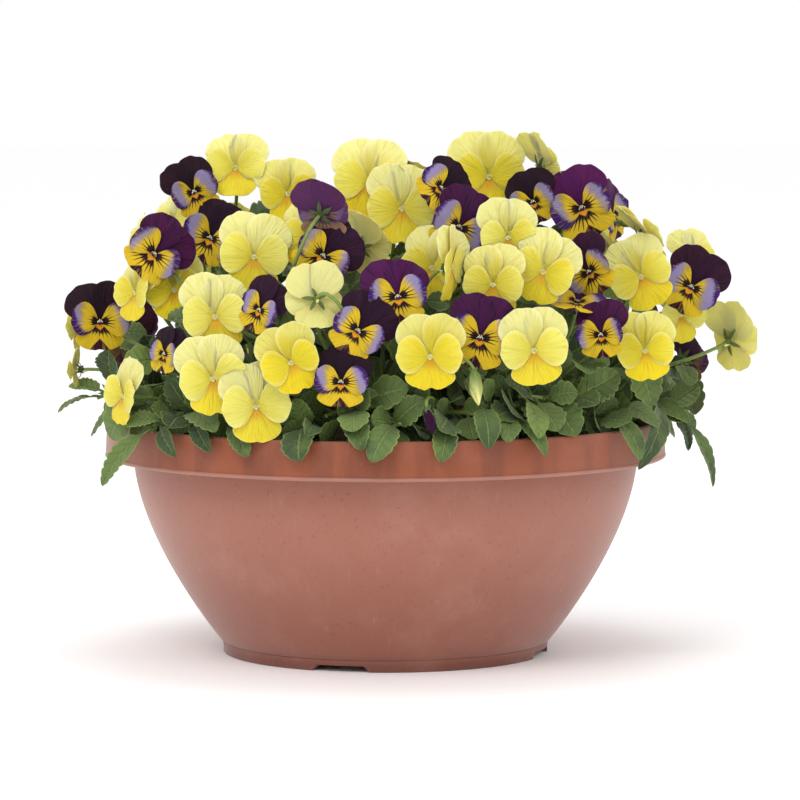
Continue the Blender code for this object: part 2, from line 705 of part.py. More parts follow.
# Shares the flower stems and shoots out to the crowns and gives each its own place on the crown's top
def planGrowths(crowns, blooms):
    growths = []
    for bloom in blooms:
        back = bloom["matrix"] @ Vector((0, 0, -1.5 * bladeThickness - hubTip - clearGap))
        look = bloom["matrix"].to_3x3() @ Vector((0, 0, 1))
        number = bloom["number"]
        growths.append(dict(stem=True, end=back, look=look, bloom=bloom, tag=f"stem{number}", seed=number))
    for number, (across, down, leaves) in enumerate(frontShoots):
        end = meetRing(across, down, overRing if number in overShoots else shootRing)
        end.z = max(end.z, rimHeight + (3 if number in overShoots else 6) * mm)
        growths.append(dict(stem=False, end=end, tag=f"shoot{number}", seed=number, front=leaves))
    for number, azimuth in enumerate(backShoots):
        growths.append(dict(stem=False, end=roundAxis(azimuth, shootRing, rimHeight + 10 * mm),
                            tag=f"backShoot{number}", seed=100 + number, azimuth=azimuth))
    for growth in growths:
        end = growth["end"]
        share = 0.75 if growth["stem"] else 0.9
        spot = Vector((end.x * share, end.y * share, soilLevel))
        usable = [c for c in crowns if not growth["stem"] or c["kind"] == growth["bloom"]["kind"]]
        usable.sort(key=lambda c: (c["foot"] - spot).length + len(c["growths"]) * 1.5 * mm)
        usable[0]["growths"].append(growth)
        growth.update(crown=usable[0], node=usable[0]["node"], other=usable[1])
    for crown in crowns:
        foot = crown["foot"]
        order = sorted(crown["growths"], key=lambda g: math.atan2(g["end"].y - foot.y, g["end"].x - foot.x))
        outer = order if len(order) <= 9 else [g for i, g in enumerate(order) if i % 4 != 3]
        inner = [g for g in order if g not in outer]
        for ring, radius in ((outer, 4.7 * mm), (inner, 1.6 * mm)):
            lead = math.atan2(ring[0]["end"].y - foot.y, ring[0]["end"].x - foot.x) if ring else 0
            for i, growth in enumerate(ring):
                a = lead + 2 * math.pi * i / len(ring)
                growth["base"] = foot + Vector((radius * math.cos(a), radius * math.sin(a), crownRise * 0.4))
    return growths


# Bends each stem and shoot until it is clear of everything but its own crown's foot
def layGrowths(crowd, growths):
    grown = []
    for growth in growths:
        draw = random.Random(3000 + growth["seed"] * 2 + growth["stem"])
        base, end = growth["base"], growth["end"]
        for attempt in range(140):
            loose = 2 * mm + (attempt % 90) * 0.35 * mm
            if attempt == 90:
                if not growth["stem"]:
                    continue
                growth.update(crown=growth["other"], node=growth["other"]["node"])
                base = growth["other"]["foot"] + Vector((0, 0, crownRise * 0.4))
            if growth["stem"]:
                reach = min(32 * mm, 0.42 * (end - base).length)
                hook = Vector((0, 0, 0))
                if attempt % 3:
                    reach *= 0.6 if attempt % 3 == 1 else 0.3
                    hook.z = -5 * mm * (attempt % 3)
                second = end - growth["look"] * reach + hook
                second.z = max(second.z, base.z + 8 * mm)
                rise = max(second.z - base.z, 12 * mm) * 0.5
            else:
                out = Vector((end.x - base.x, end.y - base.y, 0)).normalized()
                second = end - out * 22 * mm + Vector((0, 0, 5 * mm))
                rise = 20 * mm
            lean = Vector((end.x - base.x, end.y - base.y, 0)) * 0.08
            first = base + lean + Vector((0, 0, rise))
            if attempt:
                first += Vector((draw.gauss(0, 1), draw.gauss(0, 1), draw.gauss(0, 0.5))) * loose
                second += Vector((draw.gauss(0, 1), draw.gauss(0, 1), draw.gauss(0, 0.7))) * loose * 0.7
            curve = (base, first, second, end)
            if crowd.meets(growthMesh(growth["stem"], curve, 0.4 * mm), lambda n, t: n != growth["node"]):
                continue
            exact = growthMesh(growth["stem"], curve)
            if attempt < 85 and crowd.meets(exact, lambda n, t: n == growth["node"] and t != "crown"):
                continue
            crowd.add(growth["node"], growth["tag"], exact)
            grown.append(dict(growth, curve=curve, path=growthPath(growth["stem"], curve)))
            break
        else:
            print(f"no way for {growth['tag']} of {growth['node']}")
    return grown


# Leaves on the shoots, and one part way up some flower stems
def layLeaves(crowd, grown):
    leaves = []
    missed = []

    def grow(owner, share, target, width, seed, droops=(20, 60)):
        draw = random.Random(7000 + seed)
        for attempt in range(60):
            loose = attempt * 0.035
            start = max(0.2, min(share, 0.97) - loose * 0.05 * draw.random())
            base = alongPath(owner["path"], start)
            tip = base + (target - base) * (1 - 0.12 * loose * draw.random())
            tip += Vector((draw.gauss(0, 1), draw.gauss(0, 1), draw.gauss(0, 1))) * loose * 5 * mm
            out = Vector((tip.x, tip.y, 0)).normalized()
            way = out * 0.8 + Vector((0, 0, 0.62))
            way += Vector((draw.gauss(0, 1), draw.gauss(0, 1), draw.gauss(0, 1))) * (0.12 + loose * 0.25)
            leaf = makeLeaf(base, tip, width * draw.uniform(0.94, 1.06) * (1 - loose * 0.15), way,
                            math.radians(draw.uniform(*droops)), draw.uniform(0.10, 0.28),
                            draw.uniform(0.04, 0.14), draw.uniform(0, 6.28))
            if crowd.meets(leafMesh(leaf, 0.35 * mm), lambda n, t: t != owner["tag"]):
                continue
            leaf.update(node=owner["node"], seed=seed, owner=owner["tag"], share=start)
            crowd.add(owner["node"], f"leaf{seed}", leafMesh(leaf))
            leaves.append(leaf)
            return
        missed.append((owner["tag"], share))

    for owner in (g for g in grown if "front" in g):
        for k, (share, across, down, width) in enumerate(owner["front"]):
            tip = meetDepth(across, down, owner["end"].y - 4 * mm)
            hanging = tip.z < rimHeight + 4 * mm
            if hanging and math.hypot(tip.x, tip.y) < hangRing:
                tip = meetRing(across, down, hangRing)
            grow(owner, share, tip, width * frontLeafWiden * mm, owner["seed"] * 10 + k,
                 (50, 85) if hanging else (20, 60))
    for owner in (g for g in grown if "azimuth" in g):
        for k, (share, swing, reach, height, width) in enumerate(backLeaves[:2 + owner["seed"] % 2]):
            draw = random.Random(6000 + owner["seed"] * 10 + k)
            tip = roundAxis(owner["azimuth"] + swing * draw.uniform(0.8, 1.2), reach * mm,
                            (height + draw.uniform(-5, 5)) * mm)
            grow(owner, share, tip, width * mm, owner["seed"] * 10 + k)
    stems = [g for g in grown if g["stem"]]
    for number, owner in enumerate(stems):
        for kind, leaf in enumerate(innerLeaves):
            if number % leaf["every"] != leaf["first"] or kind and owner["end"].y > 0:
                continue
            draw = random.Random(6500 + number + kind * 500)
            azimuth = math.degrees(math.atan2(owner["end"].x, -owner["end"].y)) + draw.uniform(-70, 70)
            heading = roundAxis(azimuth, 1, draw.uniform(*leaf["rise"])).normalized()
            base = alongPath(owner["path"], leaf["share"])
            grow(owner, leaf["share"], base + heading * innerLength, innerWidth, 3000 + number + kind * 500)
    print(f"{len(leaves)} leaves; left out for want of room: {missed}")
    return leaves


# Everything that grows, each piece clear of the other nodes
def layOut():
    crowd = Crowd()
    crowd.add("pot", "pot", turnedMesh(potProfile(), potSides))
    crowd.add("soil", "soil", turnedMesh(soilProfile(), potSides))
    crowns = layCrowns()
    for crown in crowns:
        crowd.add(crown["node"], "crown", crownMesh(crown))
    blooms = layBlooms(crowd)
    grown = layGrowths(crowd, planGrowths(crowns, blooms))
    leaves = layLeaves(crowd, grown)
    return crowns, blooms, grown, leaves


# Building the nodes

def clearScene():
    for old in list(bpy.data.objects):
        bpy.data.objects.remove(old, do_unlink=True)


def material(name, colour, roughness):
    made = bpy.data.materials.new(name)
    made.use_nodes = True
    shader = made.node_tree.nodes["Principled BSDF"]
    shader.inputs["Base Color"].default_value = (*colour, 1)
    shader.inputs["Roughness"].default_value = roughness
    shader.inputs["Metallic"].default_value = 0
    return made


def meshObject(name, mesh, collection):
    data = bpy.data.meshes.new(name)
    data.from_pydata([tuple(v) for v in mesh[0]], [], mesh[1])
    made = bpy.data.objects.new(name, data)
    collection.objects.link(made)
    return made


# Merges facets that lie in one plane, then splits all faces into triangles again
def tidyFacets(mesh):
    work = bmesh.new()
    work.from_mesh(mesh)
    bmesh.ops.triangulate(work, faces=work.faces)
    bmesh.ops.dissolve_limit(work, angle_limit=math.radians(0.3), verts=work.verts, edges=work.edges)
    bmesh.ops.triangulate(work, faces=work.faces)
    work.to_mesh(mesh)
    work.free()


# One node from a base mesh and a collection of others, joined or cut by one applied Boolean
def fused(name, base, others, paint, operation="UNION"):
    scene = bpy.context.scene.collection
    made = meshObject(name, base, scene)
    if others:
        helpers = bpy.data.collections.new(name + "_helpers")
        scene.children.link(helpers)
        for k, other in enumerate(others):
            meshObject(f"{name}_helper_{k}", other, helpers)
        boolean = made.modifiers.new("join", "BOOLEAN")
        boolean.operand_type = "COLLECTION"
        boolean.collection = helpers
        boolean.operation = operation
        boolean.solver = "EXACT"
        graph = bpy.context.evaluated_depsgraph_get()
        joined = bpy.data.meshes.new_from_object(made.evaluated_get(graph))
        made.modifiers.clear()
        made.data = joined
        tidyFacets(joined)
        for helper in list(helpers.objects):
            bpy.data.objects.remove(helper, do_unlink=True)
        bpy.data.collections.remove(helpers)
    made.data.materials.clear()
    made.data.materials.append(paint)
    made.location = potAxis
    return made


# A block whose two ends lean in towards its top
def wedgeMesh(low, high, matrix, taper):
    verts = []
    for z, shrink in ((low.z, 0), (high.z, taper)):
        left, right = low.x + shrink, high.x - shrink
        for x, y in ((left, low.y), (right, low.y), (right, high.y), (left, high.y)):
            verts.append(matrix @ Vector((x, y, z)))
    return verts, [(0, 3, 2, 1), (4, 5, 6, 7), (0, 1, 5, 4), (1, 2, 6, 5), (2, 3, 7, 6), (3, 0, 4, 7)]


def buildPot(paint):
    cutters = []
    for turn in notchTurns:
        low = Vector((-notchWidth / 2, -footRadius - 6 * mm, -1 * mm))
        high = Vector((notchWidth / 2, -footRadius + 9 * mm, notchHeight))
        cutters.append(wedgeMesh(low, high, Matrix.Rotation(math.radians(turn), 4, "Z"), 2.5 * mm))
    for k in range(4):
        spot = roundAxis(45 + 90 * k, drainRing, 0)
        path = [spot + Vector((0, 0, recessHeight - 2 * mm)), spot + Vector((0, 0, floorTop + 2 * mm))]
        cutters.append(tubeMesh(path, [drainRadius] * 2, 8))
    fused("pot", turnedMesh(potProfile(), potSides), cutters, paint, "DIFFERENCE")


def buildSoil(paint, crowns):
    holes = []
    for crown in crowns:
        foot = crown["foot"]
        path = [foot - Vector((0, 0, crownDepth + clearGap)), foot + Vector((0, 0, 6 * mm))]
        holes.append(tubeMesh(path, [crownRadius + clearGap * 1.3] * 2, 6))
    fused("soil", turnedMesh(soilProfile(), potSides), holes, paint, "DIFFERENCE")


def buildPlants(paint, crowns, grown, leaves):
    for crown in crowns:
        parts = []
        for growth in grown:
            if growth["node"] == crown["node"]:
                parts.append(growthMesh(growth["stem"], growth["curve"]))
        parts += [leafMesh(leaf) for leaf in leaves if leaf["node"] == crown["node"]]
        fused(crown["node"], crownMesh(crown), parts, paint)


def buildBlooms(paints, blooms):
    nodes = {}
    for bloom in blooms:
        nodes.setdefault(bloom["node"], []).append(bloom)
    for node, members in nodes.items():
        meshes = [moved(bloomMesh(b["kind"], b["size"], b["waves"]), b["matrix"]) for b in members]
        fused(node, meshes[0], meshes[1:], paints[members[0]["kind"]])


def main():
    clearScene()
    clay = material("terracotta plastic", (0.42, 0.17, 0.11), 0.55)
    earth = material("potting mix", (0.045, 0.03, 0.02), 0.95)
    green = material("violet leaf", (0.07, 0.13, 0.035), 0.55)
    paints = {
        "yellow": material("yellow petal", (0.85, 0.72, 0.09), 0.6),
        "violet": material("violet petal", (0.09, 0.02, 0.09), 0.6),
    }
    crowns, blooms, grown, leaves = layOut()
    buildPot(clay)
    buildSoil(earth, crowns)
    buildPlants(green, crowns, grown, leaves)
    buildBlooms(paints, blooms)
    print(f"{len(blooms)} blooms, {len(grown)} stems and shoots, {len(leaves)} leaves")


main()
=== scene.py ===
import json
import random
from math import asin, atan, atan2, copysign, cos, degrees, exp, hypot, log, pi, radians, sin, sqrt

import bpy
import numpy as np
from mathutils import Matrix, Vector, noise
from mathutils.bvhtree import BVHTree

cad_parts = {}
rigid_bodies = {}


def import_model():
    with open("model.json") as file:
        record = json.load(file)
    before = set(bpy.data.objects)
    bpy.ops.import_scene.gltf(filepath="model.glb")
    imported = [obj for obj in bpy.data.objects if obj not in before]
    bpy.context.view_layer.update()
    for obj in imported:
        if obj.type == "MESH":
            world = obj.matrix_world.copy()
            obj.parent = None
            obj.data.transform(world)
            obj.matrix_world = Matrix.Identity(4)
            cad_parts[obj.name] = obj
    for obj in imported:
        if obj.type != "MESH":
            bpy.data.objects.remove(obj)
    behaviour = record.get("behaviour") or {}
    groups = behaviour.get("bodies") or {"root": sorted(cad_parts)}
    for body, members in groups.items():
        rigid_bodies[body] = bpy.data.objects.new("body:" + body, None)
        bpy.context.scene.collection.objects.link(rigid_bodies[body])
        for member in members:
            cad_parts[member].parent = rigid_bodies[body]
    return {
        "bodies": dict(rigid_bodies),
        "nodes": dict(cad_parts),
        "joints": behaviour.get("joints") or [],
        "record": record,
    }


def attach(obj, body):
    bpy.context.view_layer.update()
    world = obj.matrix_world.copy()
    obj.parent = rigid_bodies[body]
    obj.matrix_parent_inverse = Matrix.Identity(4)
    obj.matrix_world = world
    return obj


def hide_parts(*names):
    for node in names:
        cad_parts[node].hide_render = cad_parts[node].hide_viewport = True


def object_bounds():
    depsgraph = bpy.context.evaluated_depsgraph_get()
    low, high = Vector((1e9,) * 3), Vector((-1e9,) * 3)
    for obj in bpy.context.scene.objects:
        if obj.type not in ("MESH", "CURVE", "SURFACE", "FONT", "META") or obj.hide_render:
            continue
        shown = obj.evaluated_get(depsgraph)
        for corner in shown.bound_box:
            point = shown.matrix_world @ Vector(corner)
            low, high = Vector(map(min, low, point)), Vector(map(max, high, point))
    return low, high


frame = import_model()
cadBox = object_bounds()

# A bowl of horned violets: yellow plants, and dark violet plants with yellow faces.
# The front faces -Y. Sizes are metres unless a line says otherwise.

# Bowl and soil
mm = 0.001
potAxis = Vector((-11.5 * mm, 0, 0))  # the spread leans a little to the right of the bowl's axis
rimRadius = 152.5 * mm
rimHeight = 127.6 * mm
collarHeight = 20.7 * mm
bodyRadius = 137.0 * mm
footRadius = 88.5 * mm
footHeight = 6.5 * mm
wallThickness = 3.0 * mm
recessHeight = 4.0 * mm
floorTop = 7.0 * mm
shoulder = rimHeight - collarHeight
collarLean = 1.2 * mm
collarInside = rimRadius - wallThickness - collarLean
footLedge = 1.1 * mm
footRing = 6 * mm  # width of the ring with its inner slope
bodyBulge = 1.65  # power of the bowl's curve
potSides = 28
notchWidth = 31 * mm
notchHeight = 3.3 * mm
notchTurns = (-16, 74, 164, 254)
drainRadius = 5 * mm
drainRing = 52 * mm
soilLevel = 117 * mm
soilCrown = 4 * mm

# Room between two pieces, and the thickness of petals and leaves
clearGap = 0.4 * mm
bladeThickness = 0.7 * mm
bloomRoom = 0.35 * mm  # kept round blooms and leaves

# The view that the front of the plant is placed by, in the bowl's own frame
eye = Vector((0, -2242 * mm, 318.8 * mm))
focalPixels = 4131
pictureMiddle = 400
axisPixel = 385.5
eyePitch = radians(4.64)
eyeYaw = atan((pictureMiddle - axisPixel) / focalPixels)

# The mound that the throats of the blooms lie on
moundMiddle = Vector((7 * mm, 0, 112 * mm))
moundWidth = 176 * mm
moundDepth = 160 * mm
moundRise = 150 * mm
moundPower = 2.5  # across and upwards
moundBow = 1.7  # from front to back, where the mound is rounder
searchSteps = 380  # of 1 mm, through the mound
searchAhead = 20 * mm

# Blooms of the front by colour: throat in the picture (across, down), half width in mm, turn to the right,
# tilt up, roll against the clock, how far nearer the eye in mm and the letter that touching blooms share.
# Then its makeup, from 0 to 1: how pale a yellow one is; how yellow the face of a violet one is and how
# purple its dark petals are
yellowBlooms = [
    (235, 168, 16.5, -5, 22, 0, 4, "A", 0.55), (288, 194, 16.0, 5, 15, 5, 0, "A", 0.25),
    (173, 222, 17.0, -45, 20, 15, 0, "B", 0.8), (125, 250, 14.0, -75, 15, 0, -12, "B", 0.75),
    (134, 293, 15.0, -50, 8, 0, 2, "M", 0.5), (254, 257, 18.0, 5, 5, -5, 4, "L", 0.75),
    (215, 317, 17.5, 5, 5, 3, 4, "C", 0.8), (174, 290, 16.0, 0, 10, 5, -22, "M", 0.3),
    (76, 327, 14.0, -95, 0, 0, -5, "", 0.7), (74, 370, 9.0, -100, -5, 0, 0, "", 0.6),
    (122, 396, 15.5, -60, 5, -5, 4, "", 0.45), (213, 379, 18.0, 5, 5, 8, 3, "D", 0.7),
    (264, 412, 18.0, 8, 8, 5, 10, "D", 1.0), (291, 363, 15.5, 0, 5, 22, 0, "E", 0.15),
    (316, 298, 15.0, -165, -20, 0, -4, "E", 1.0), (402, 209, 18.5, 5, 5, 0, 8, "F", 0.65),
    (366, 179, 19.0, -5, 15, 0, -6, "F", 0.5), (366, 246, 15.0, 140, 10, 0, -2, "F", 0.6),
    (306, 238, 15.0, -25, 10, -10, -14, "L", 0.45), (489, 177, 20.0, 5, 10, 2, 3, "G", 0.35),
    (545, 165, 16.0, 115, 20, 0, -8, "G", 0.6), (543, 272, 17.0, -5, 8, -20, 2, "H", 0.55),
    (508, 238, 15.5, 15, 0, 0, -12, "H", 0.7), (452, 268, 17.0, 72, -5, 0, 5, "I", 0.6),
    (500, 288, 16.0, -10, 0, 0, -8, "I", 0.6), (432, 268, 16.5, -15, 5, -5, -4, "I", 0.55),
    (430, 357, 17.3, 0, 8, 0, 5, "", 0.3), (534, 351, 17.5, 2, 6, 5, 6, "", 0.65),
    (645, 351, 15.8, 5, 8, 3, 6, "J", 0.2), (682, 315, 15.5, 30, -10, 0, -38, "", 0.95),
    (641, 277, 17.0, -10, 5, 25, 4, "K", 0.6), (648, 224, 16.5, 105, 35, 0, -6, "K", 0.35),
    (692, 258, 13.0, 25, 10, 0, -12, "", 1.0), (733, 340, 17.0, 132, 8, 0, 0, "", 0.9),
]
violetBlooms = [
    (194, 192, 14.5, 20, 5, 22, 2, "a", 0.2, 0.05), (210, 238, 16.5, -25, 5, -22, 2, "a", 0.4, 0.25),
    (154, 254, 16.5, -5, 5, -46, 24, "", 0.8, 0.6), (100, 322, 16.5, 15, 5, 0, 4, "", 1.0, 0.0),
    (259, 310, 13.0, -35, 5, -25, 0, "", 0.5, 0.35), (164, 354, 11.0, -45, 5, -10, 4, "", 0.7, 0.2),
    (323, 256, 16.5, -15, 5, -42, 4, "b", 0.9, 0.35), (322, 192, 15.0, 160, 15, 0, -6, "b", 0.3, 0.8),
    (398, 297, 16.5, 5, 15, 8, 0, "c", 0.6, 0.8), (358, 331, 15.5, 0, 5, -38, 4, "c", 0.7, 0.3),
    (340, 385, 14.5, -5, 10, -5, 6, "c", 0.6, 0.0), (459, 227, 17.0, 10, 5, -32, 4, "d", 0.1, 0.6),
    (441, 188, 14.0, 20, 10, -60, -4, "d", 0.4, 0.1), (582, 208, 18.0, -5, 5, 24, 4, "e", 0.5, 1.0),
    (533, 202, 13.5, -15, 5, 20, -6, "e", 0.5, 0.0), (614, 216, 15.0, 62, 5, 20, -22, "", 0.5, 0.9),
    (480, 338, 17.0, 0, 8, -12, 2, "", 0.9, 0.6), (589, 272, 15.0, -25, 0, 35, -2, "f", 0.7, 0.4),
    (577, 301, 15.0, 10, 62, -25, 4, "f", 0.8, 0.5), (601, 335, 13.5, -25, 0, 8, -2, "f", 1.0, 0.6),
    (691, 287, 16.5, -4, 5, -30, 30, "", 0.2, 0.35),
]
frontBlooms = {"yellow": yellowBlooms, "violet": violetBlooms}

# Bunches of blooms round the back and on top, which the picture doesn't show: azimuth, height in mm,
# tilt of the middle, how many, colour
backBunches = [
    (112, 162, 8, 2, "violet"), (146, 160, 8, 2, "yellow"), (180, 160, 8, 2, "violet"),
    (212, 160, 8, 2, "yellow"), (246, 162, 8, 2, "violet"), (124, 212, 18, 3, "yellow"),
    (160, 214, 20, 2, "violet"), (194, 212, 20, 2, "yellow"), (232, 210, 18, 3, "yellow"),
    (184, 250, 50, 3, "yellow"), (112, 254, 60, 2, "violet"), (256, 254, 60, 2, "yellow"),
    (0, 256, 66, 2, "yellow"),
]
backSize = 17 * mm
bunchGap = 1.72  # distance between mates in bloom half widths
# By the number of mates: turn of the first one in degrees, and how far out they are in such distances
bunchForms = {2: (20, 0.5), 3: (90, 0.577)}

# Petals: angle from the right; length, half width and half width of the foot in bloom half widths;
# the place of the fullest width, how round the outline is, the layer, the cup of the face,
# the waves and the notch of the tip
petalShapes = {
    "yellow": {
        "upper": dict(angle=63, length=1.27, width=0.62, foot=0.12, fullest=0.62, blunt=0.5,
                      layer=-1, cup=-0.10, wave=0.035, notch=0.0),
        "side": dict(angle=9, length=0.88, width=0.50, foot=0.10, fullest=0.62, blunt=0.5,
                     layer=0, cup=0.05, wave=0.02, notch=0.0),
        "lower": dict(angle=-90, length=0.92, width=0.66, foot=0.08, fullest=0.66, blunt=0.55,
                      layer=0, cup=-0.06, wave=0.03, notch=0.07),
    },
    "violet": {
        "upper": dict(angle=62, length=1.28, width=0.64, foot=0.12, fullest=0.62, blunt=0.5,
                      layer=-1, cup=-0.12, wave=0.045, notch=0.0),
        "side": dict(angle=14, length=0.84, width=0.44, foot=0.09, fullest=0.64, blunt=0.5,
                     layer=0, cup=0.06, wave=0.02, notch=0.0),
        "lower": dict(angle=-90, length=0.80, width=0.66, foot=0.08, fullest=0.66, blunt=0.55,
                      layer=0, cup=-0.03, wave=0.02, notch=0.10),
    },
}
hubShare = 0.125  # throat radius in bloom half widths
hubTip = 1.2 * mm

# Plants: rings of crowns as radius, first azimuth and colours in turn; azimuth 0 is the front, 90 the right
crownRings = [
    (94 * mm, 0, ("yellow", "violet", "yellow", "violet", "yellow", "violet", "yellow", "violet")),
    (38 * mm, 60, ("yellow", "violet", "yellow")),
]
crownRadius = 7.4 * mm
crownDepth = 12 * mm
crownRise = 7 * mm
rootRings = (4.7 * mm, 1.6 * mm)  # the rings of growths on a crown's top
mostInRing = 9
stemRadius = 1.3 * mm
cupRadius = 2.1 * mm

# Leafy shoots of the front: end in the picture (across, down), then leaves as share along the shoot,
# tip in the picture (across, down) and half width in mm
frontShoots = [
    (153, 426, ((1.0, 102, 486, 6.0), (0.86, 117, 430, 5.5), (0.93, 176, 457, 3.8))),
    (190, 424, ((1.0, 216, 432, 6.0), (0.88, 168, 378, 5.5), (0.94, 208, 451, 4.4))),
    (230, 424, ((1.0, 253, 450, 5.2), (0.88, 226, 398, 5.5))),
    (303, 424, ((1.0, 299, 462, 7.6), (0.93, 321, 438, 4.4), (0.86, 281, 402, 6.0))),
    (350, 416, ((1.0, 362, 451, 5.0), (0.88, 366, 390, 6.0))),
    (400, 424, ((1.0, 372, 462, 6.4), (0.92, 371, 417, 6.5), (0.84, 427, 395, 6.0))),
    (97, 398, ((1.0, 58, 413, 4.8), (0.93, 58, 382, 5.6), (0.86, 102, 347, 7.6))),
    (446, 424, ((1.0, 438, 463, 5.2), (0.88, 433, 405, 5.4))),
    (477, 406, ((1.0, 488, 449, 5.4), (0.88, 462, 380, 6.0))),
    (509, 420, ((1.0, 508, 443, 4.8), (0.93, 546, 457, 4.4))),
    (519, 396, ((1.0, 538, 439, 5.6), (0.88, 500, 382, 6.0))),
    (577, 404, ((1.0, 535, 420, 7.8), (0.90, 618, 376, 7.8), (0.95, 586, 447, 4.8))),
    (610, 428, ((1.0, 628, 471, 6.2), (0.92, 606, 394, 6.8), (0.86, 665, 420, 5.4))),
    (645, 422, ((1.0, 681, 438, 6.4), (0.94, 641, 462, 5.2), (0.88, 621, 380, 5.6))),
    (680, 424, ((1.0, 713, 487, 4.8), (0.95, 692, 449, 5.2), (0.88, 699, 386, 5.4),
                (0.80, 669, 391, 5.2))),
]
frontLeafWiden = 1.12
# Shoots of the back: azimuth, then leaves as share, azimuth off the shoot's, reach, height
# and half width in mm
backShoots = (104, 124, 144, 164, 184, 204, 224, 244, 262)
backLeaves = ((1.0, 2, 162, 112, 6.8), (0.93, 12, 152, 139, 6.6), (0.86, -12, 150, 150, 6.8))
shootRing = 139 * mm
overShoots = (0, 14)  # the two that reach over the rim
overRing = 155 * mm
hangRing = 160 * mm
# Leaves on the flower stems: how high, how many stems to a leaf, and the rise of the leaf
innerLeaves = (
    dict(share=0.55, every=7, first=1, rise=(0.1, 0.6)),
    dict(share=0.24, every=7, first=0, rise=(0.3, 0.9)),
)
innerLength = 34 * mm
innerWidth = 7.4 * mm
petioleShare = 0.24
petioleHalf = 0.7 * mm
leafFullest = 0.60
leafBlunt = 0.58
leafTries = 60
frontDepth = 40 * mm  # leaves nearer than this show their faces

# Where the draws of each kind start
seeds = {
    "waves": 100, "bunch": 900, "bend": 3000, "backLeaf": 6000, "innerLeaf": 6500, "leaf": 7000,
    "petals": 20000, "stem": 21000, "blade": 22000, "filler": 40000, "runner": 50000, "bud": 60000,
    "crumbs": 5,
}


# A push to any side
def jolt(draw, rise=1):
    return Vector((draw.gauss(0, 1), draw.gauss(0, 1), draw.gauss(0, rise)))


def anyPhase(draw):
    return draw.uniform(0, 6.28)


def lift(height):
    return Vector((0, 0, height))


# Placing by the picture

def sightLine(across, down):
    level = cos(eyePitch)
    forward = Vector((sin(eyeYaw) * level, cos(eyeYaw) * level, -sin(eyePitch)))
    right = forward.cross(lift(1)).normalized()
    up = right.cross(forward)
    x = (across - pictureMiddle) / focalPixels
    y = (pictureMiddle - down) / focalPixels
    return (forward + right * x + up * y).normalized()


# Where a line of sight first meets the mound, or passes nearest to it
def meetMound(across, down):
    line = sightLine(across, down)
    start = (abs(eye.y) - moundDepth - searchAhead) / line.y
    nearest = None
    for step in range(searchSteps):
        point = eye + line * (start + step * mm)
        x = abs(point.x - moundMiddle.x) / moundWidth
        y = abs(point.y - moundMiddle.y) / moundDepth
        z = max(point.z - moundMiddle.z, 0) / moundRise
        level = x ** moundPower + y ** moundBow + z ** moundPower
        if level <= 1:
            return point
        if nearest is None or level < nearest[0]:
            nearest = (level, point)
    return nearest[1]


# The same for an upright cylinder round the bowl's axis
def meetRing(across, down, radius):
    line = sightLine(across, down)
    a = line.x ** 2 + line.y ** 2
    b = eye.x * line.x + eye.y * line.y
    c = eye.x ** 2 + eye.y ** 2 - radius ** 2
    inside = b * b - a * c
    return eye + line * ((-b - sqrt(max(inside, 0))) / a)


# Point of a line of sight at a depth
def meetDepth(across, down, y):
    line = sightLine(across, down)
    return eye + line * ((y - eye.y) / line.y)


def roundAxis(azimuth, reach, height):
    a = radians(azimuth)
    return Vector((reach * sin(a), -reach * cos(a), height))


# The mound's surface at this azimuth and height
def onMound(azimuth, height):
    share = max(height - moundMiddle.z, 0) / moundRise
    room = 1 - share ** moundPower
    reach = moundWidth
    while True:
        point = roundAxis(azimuth, reach, height)
        if abs(point.x / moundWidth) ** moundPower + abs(point.y / moundDepth) ** moundBow <= room:
            return point + Vector((moundMiddle.x, 0, 0))
        reach -= 1 * mm


# How a bloom stands: x to its right, y up its face, z the way it looks
def facing(turn, tilt, roll):
    a, e = radians(turn), radians(tilt)
    look = Vector((sin(a) * cos(e), -cos(a) * cos(e), sin(e)))
    right = lift(1).cross(look).normalized()
    up = look.cross(right)
    frame = Matrix((right, up, look)).transposed()
    return frame.to_4x4() @ Matrix.Rotation(radians(roll), 4, "Z")


# Petals and blooms

# Point of a petal's face: across from -1 to 1, along from 0 at the throat to 1 at the tip
def petalPoint(shape, across, along, size, waves):
    power = log(0.5) / log(shape["fullest"])
    half = shape["foot"] * (1 - along)
    if 0 < along < 1:
        half += shape["width"] * sin(pi * along ** power) ** shape["blunt"]
    side = across * half
    reach = hubShare + along * shape["length"]
    reach -= shape["notch"] * exp(-((side / 0.13) ** 2)) * max(0, along - 0.6) * 2.5
    rise = shape["cup"] * reach * reach
    rise += shape["wave"] * along ** 3 * sin(waves[0] + side * 6.5 + waves[1] * along)
    a = radians(shape["angle"])
    x = reach * cos(a) - side * sin(a)
    y = reach * sin(a) + side * cos(a)
    return Vector((x * size, y * size, rise * size + shape["layer"] * bladeThickness))


# The waves of the petal on the other side
def otherWaves(waves):
    return waves[0] + 1.7, waves[1] + 0.9


# Corners of each petal in the bloom's facets
petalCorners = {
    "upper": ((-1.03, 0.42), (-1.05, 0.80), (-0.1, 1.01)),
    "side": ((-1.03, 0.52), (-0.15, 1.02), (1.05, 0.62)),
    "lower": ((-1.03, 0.56), (-0.85, 0.94), (0.85, 0.94), (1.03, 0.56)),
}
notchCorner = (1, 0.80)


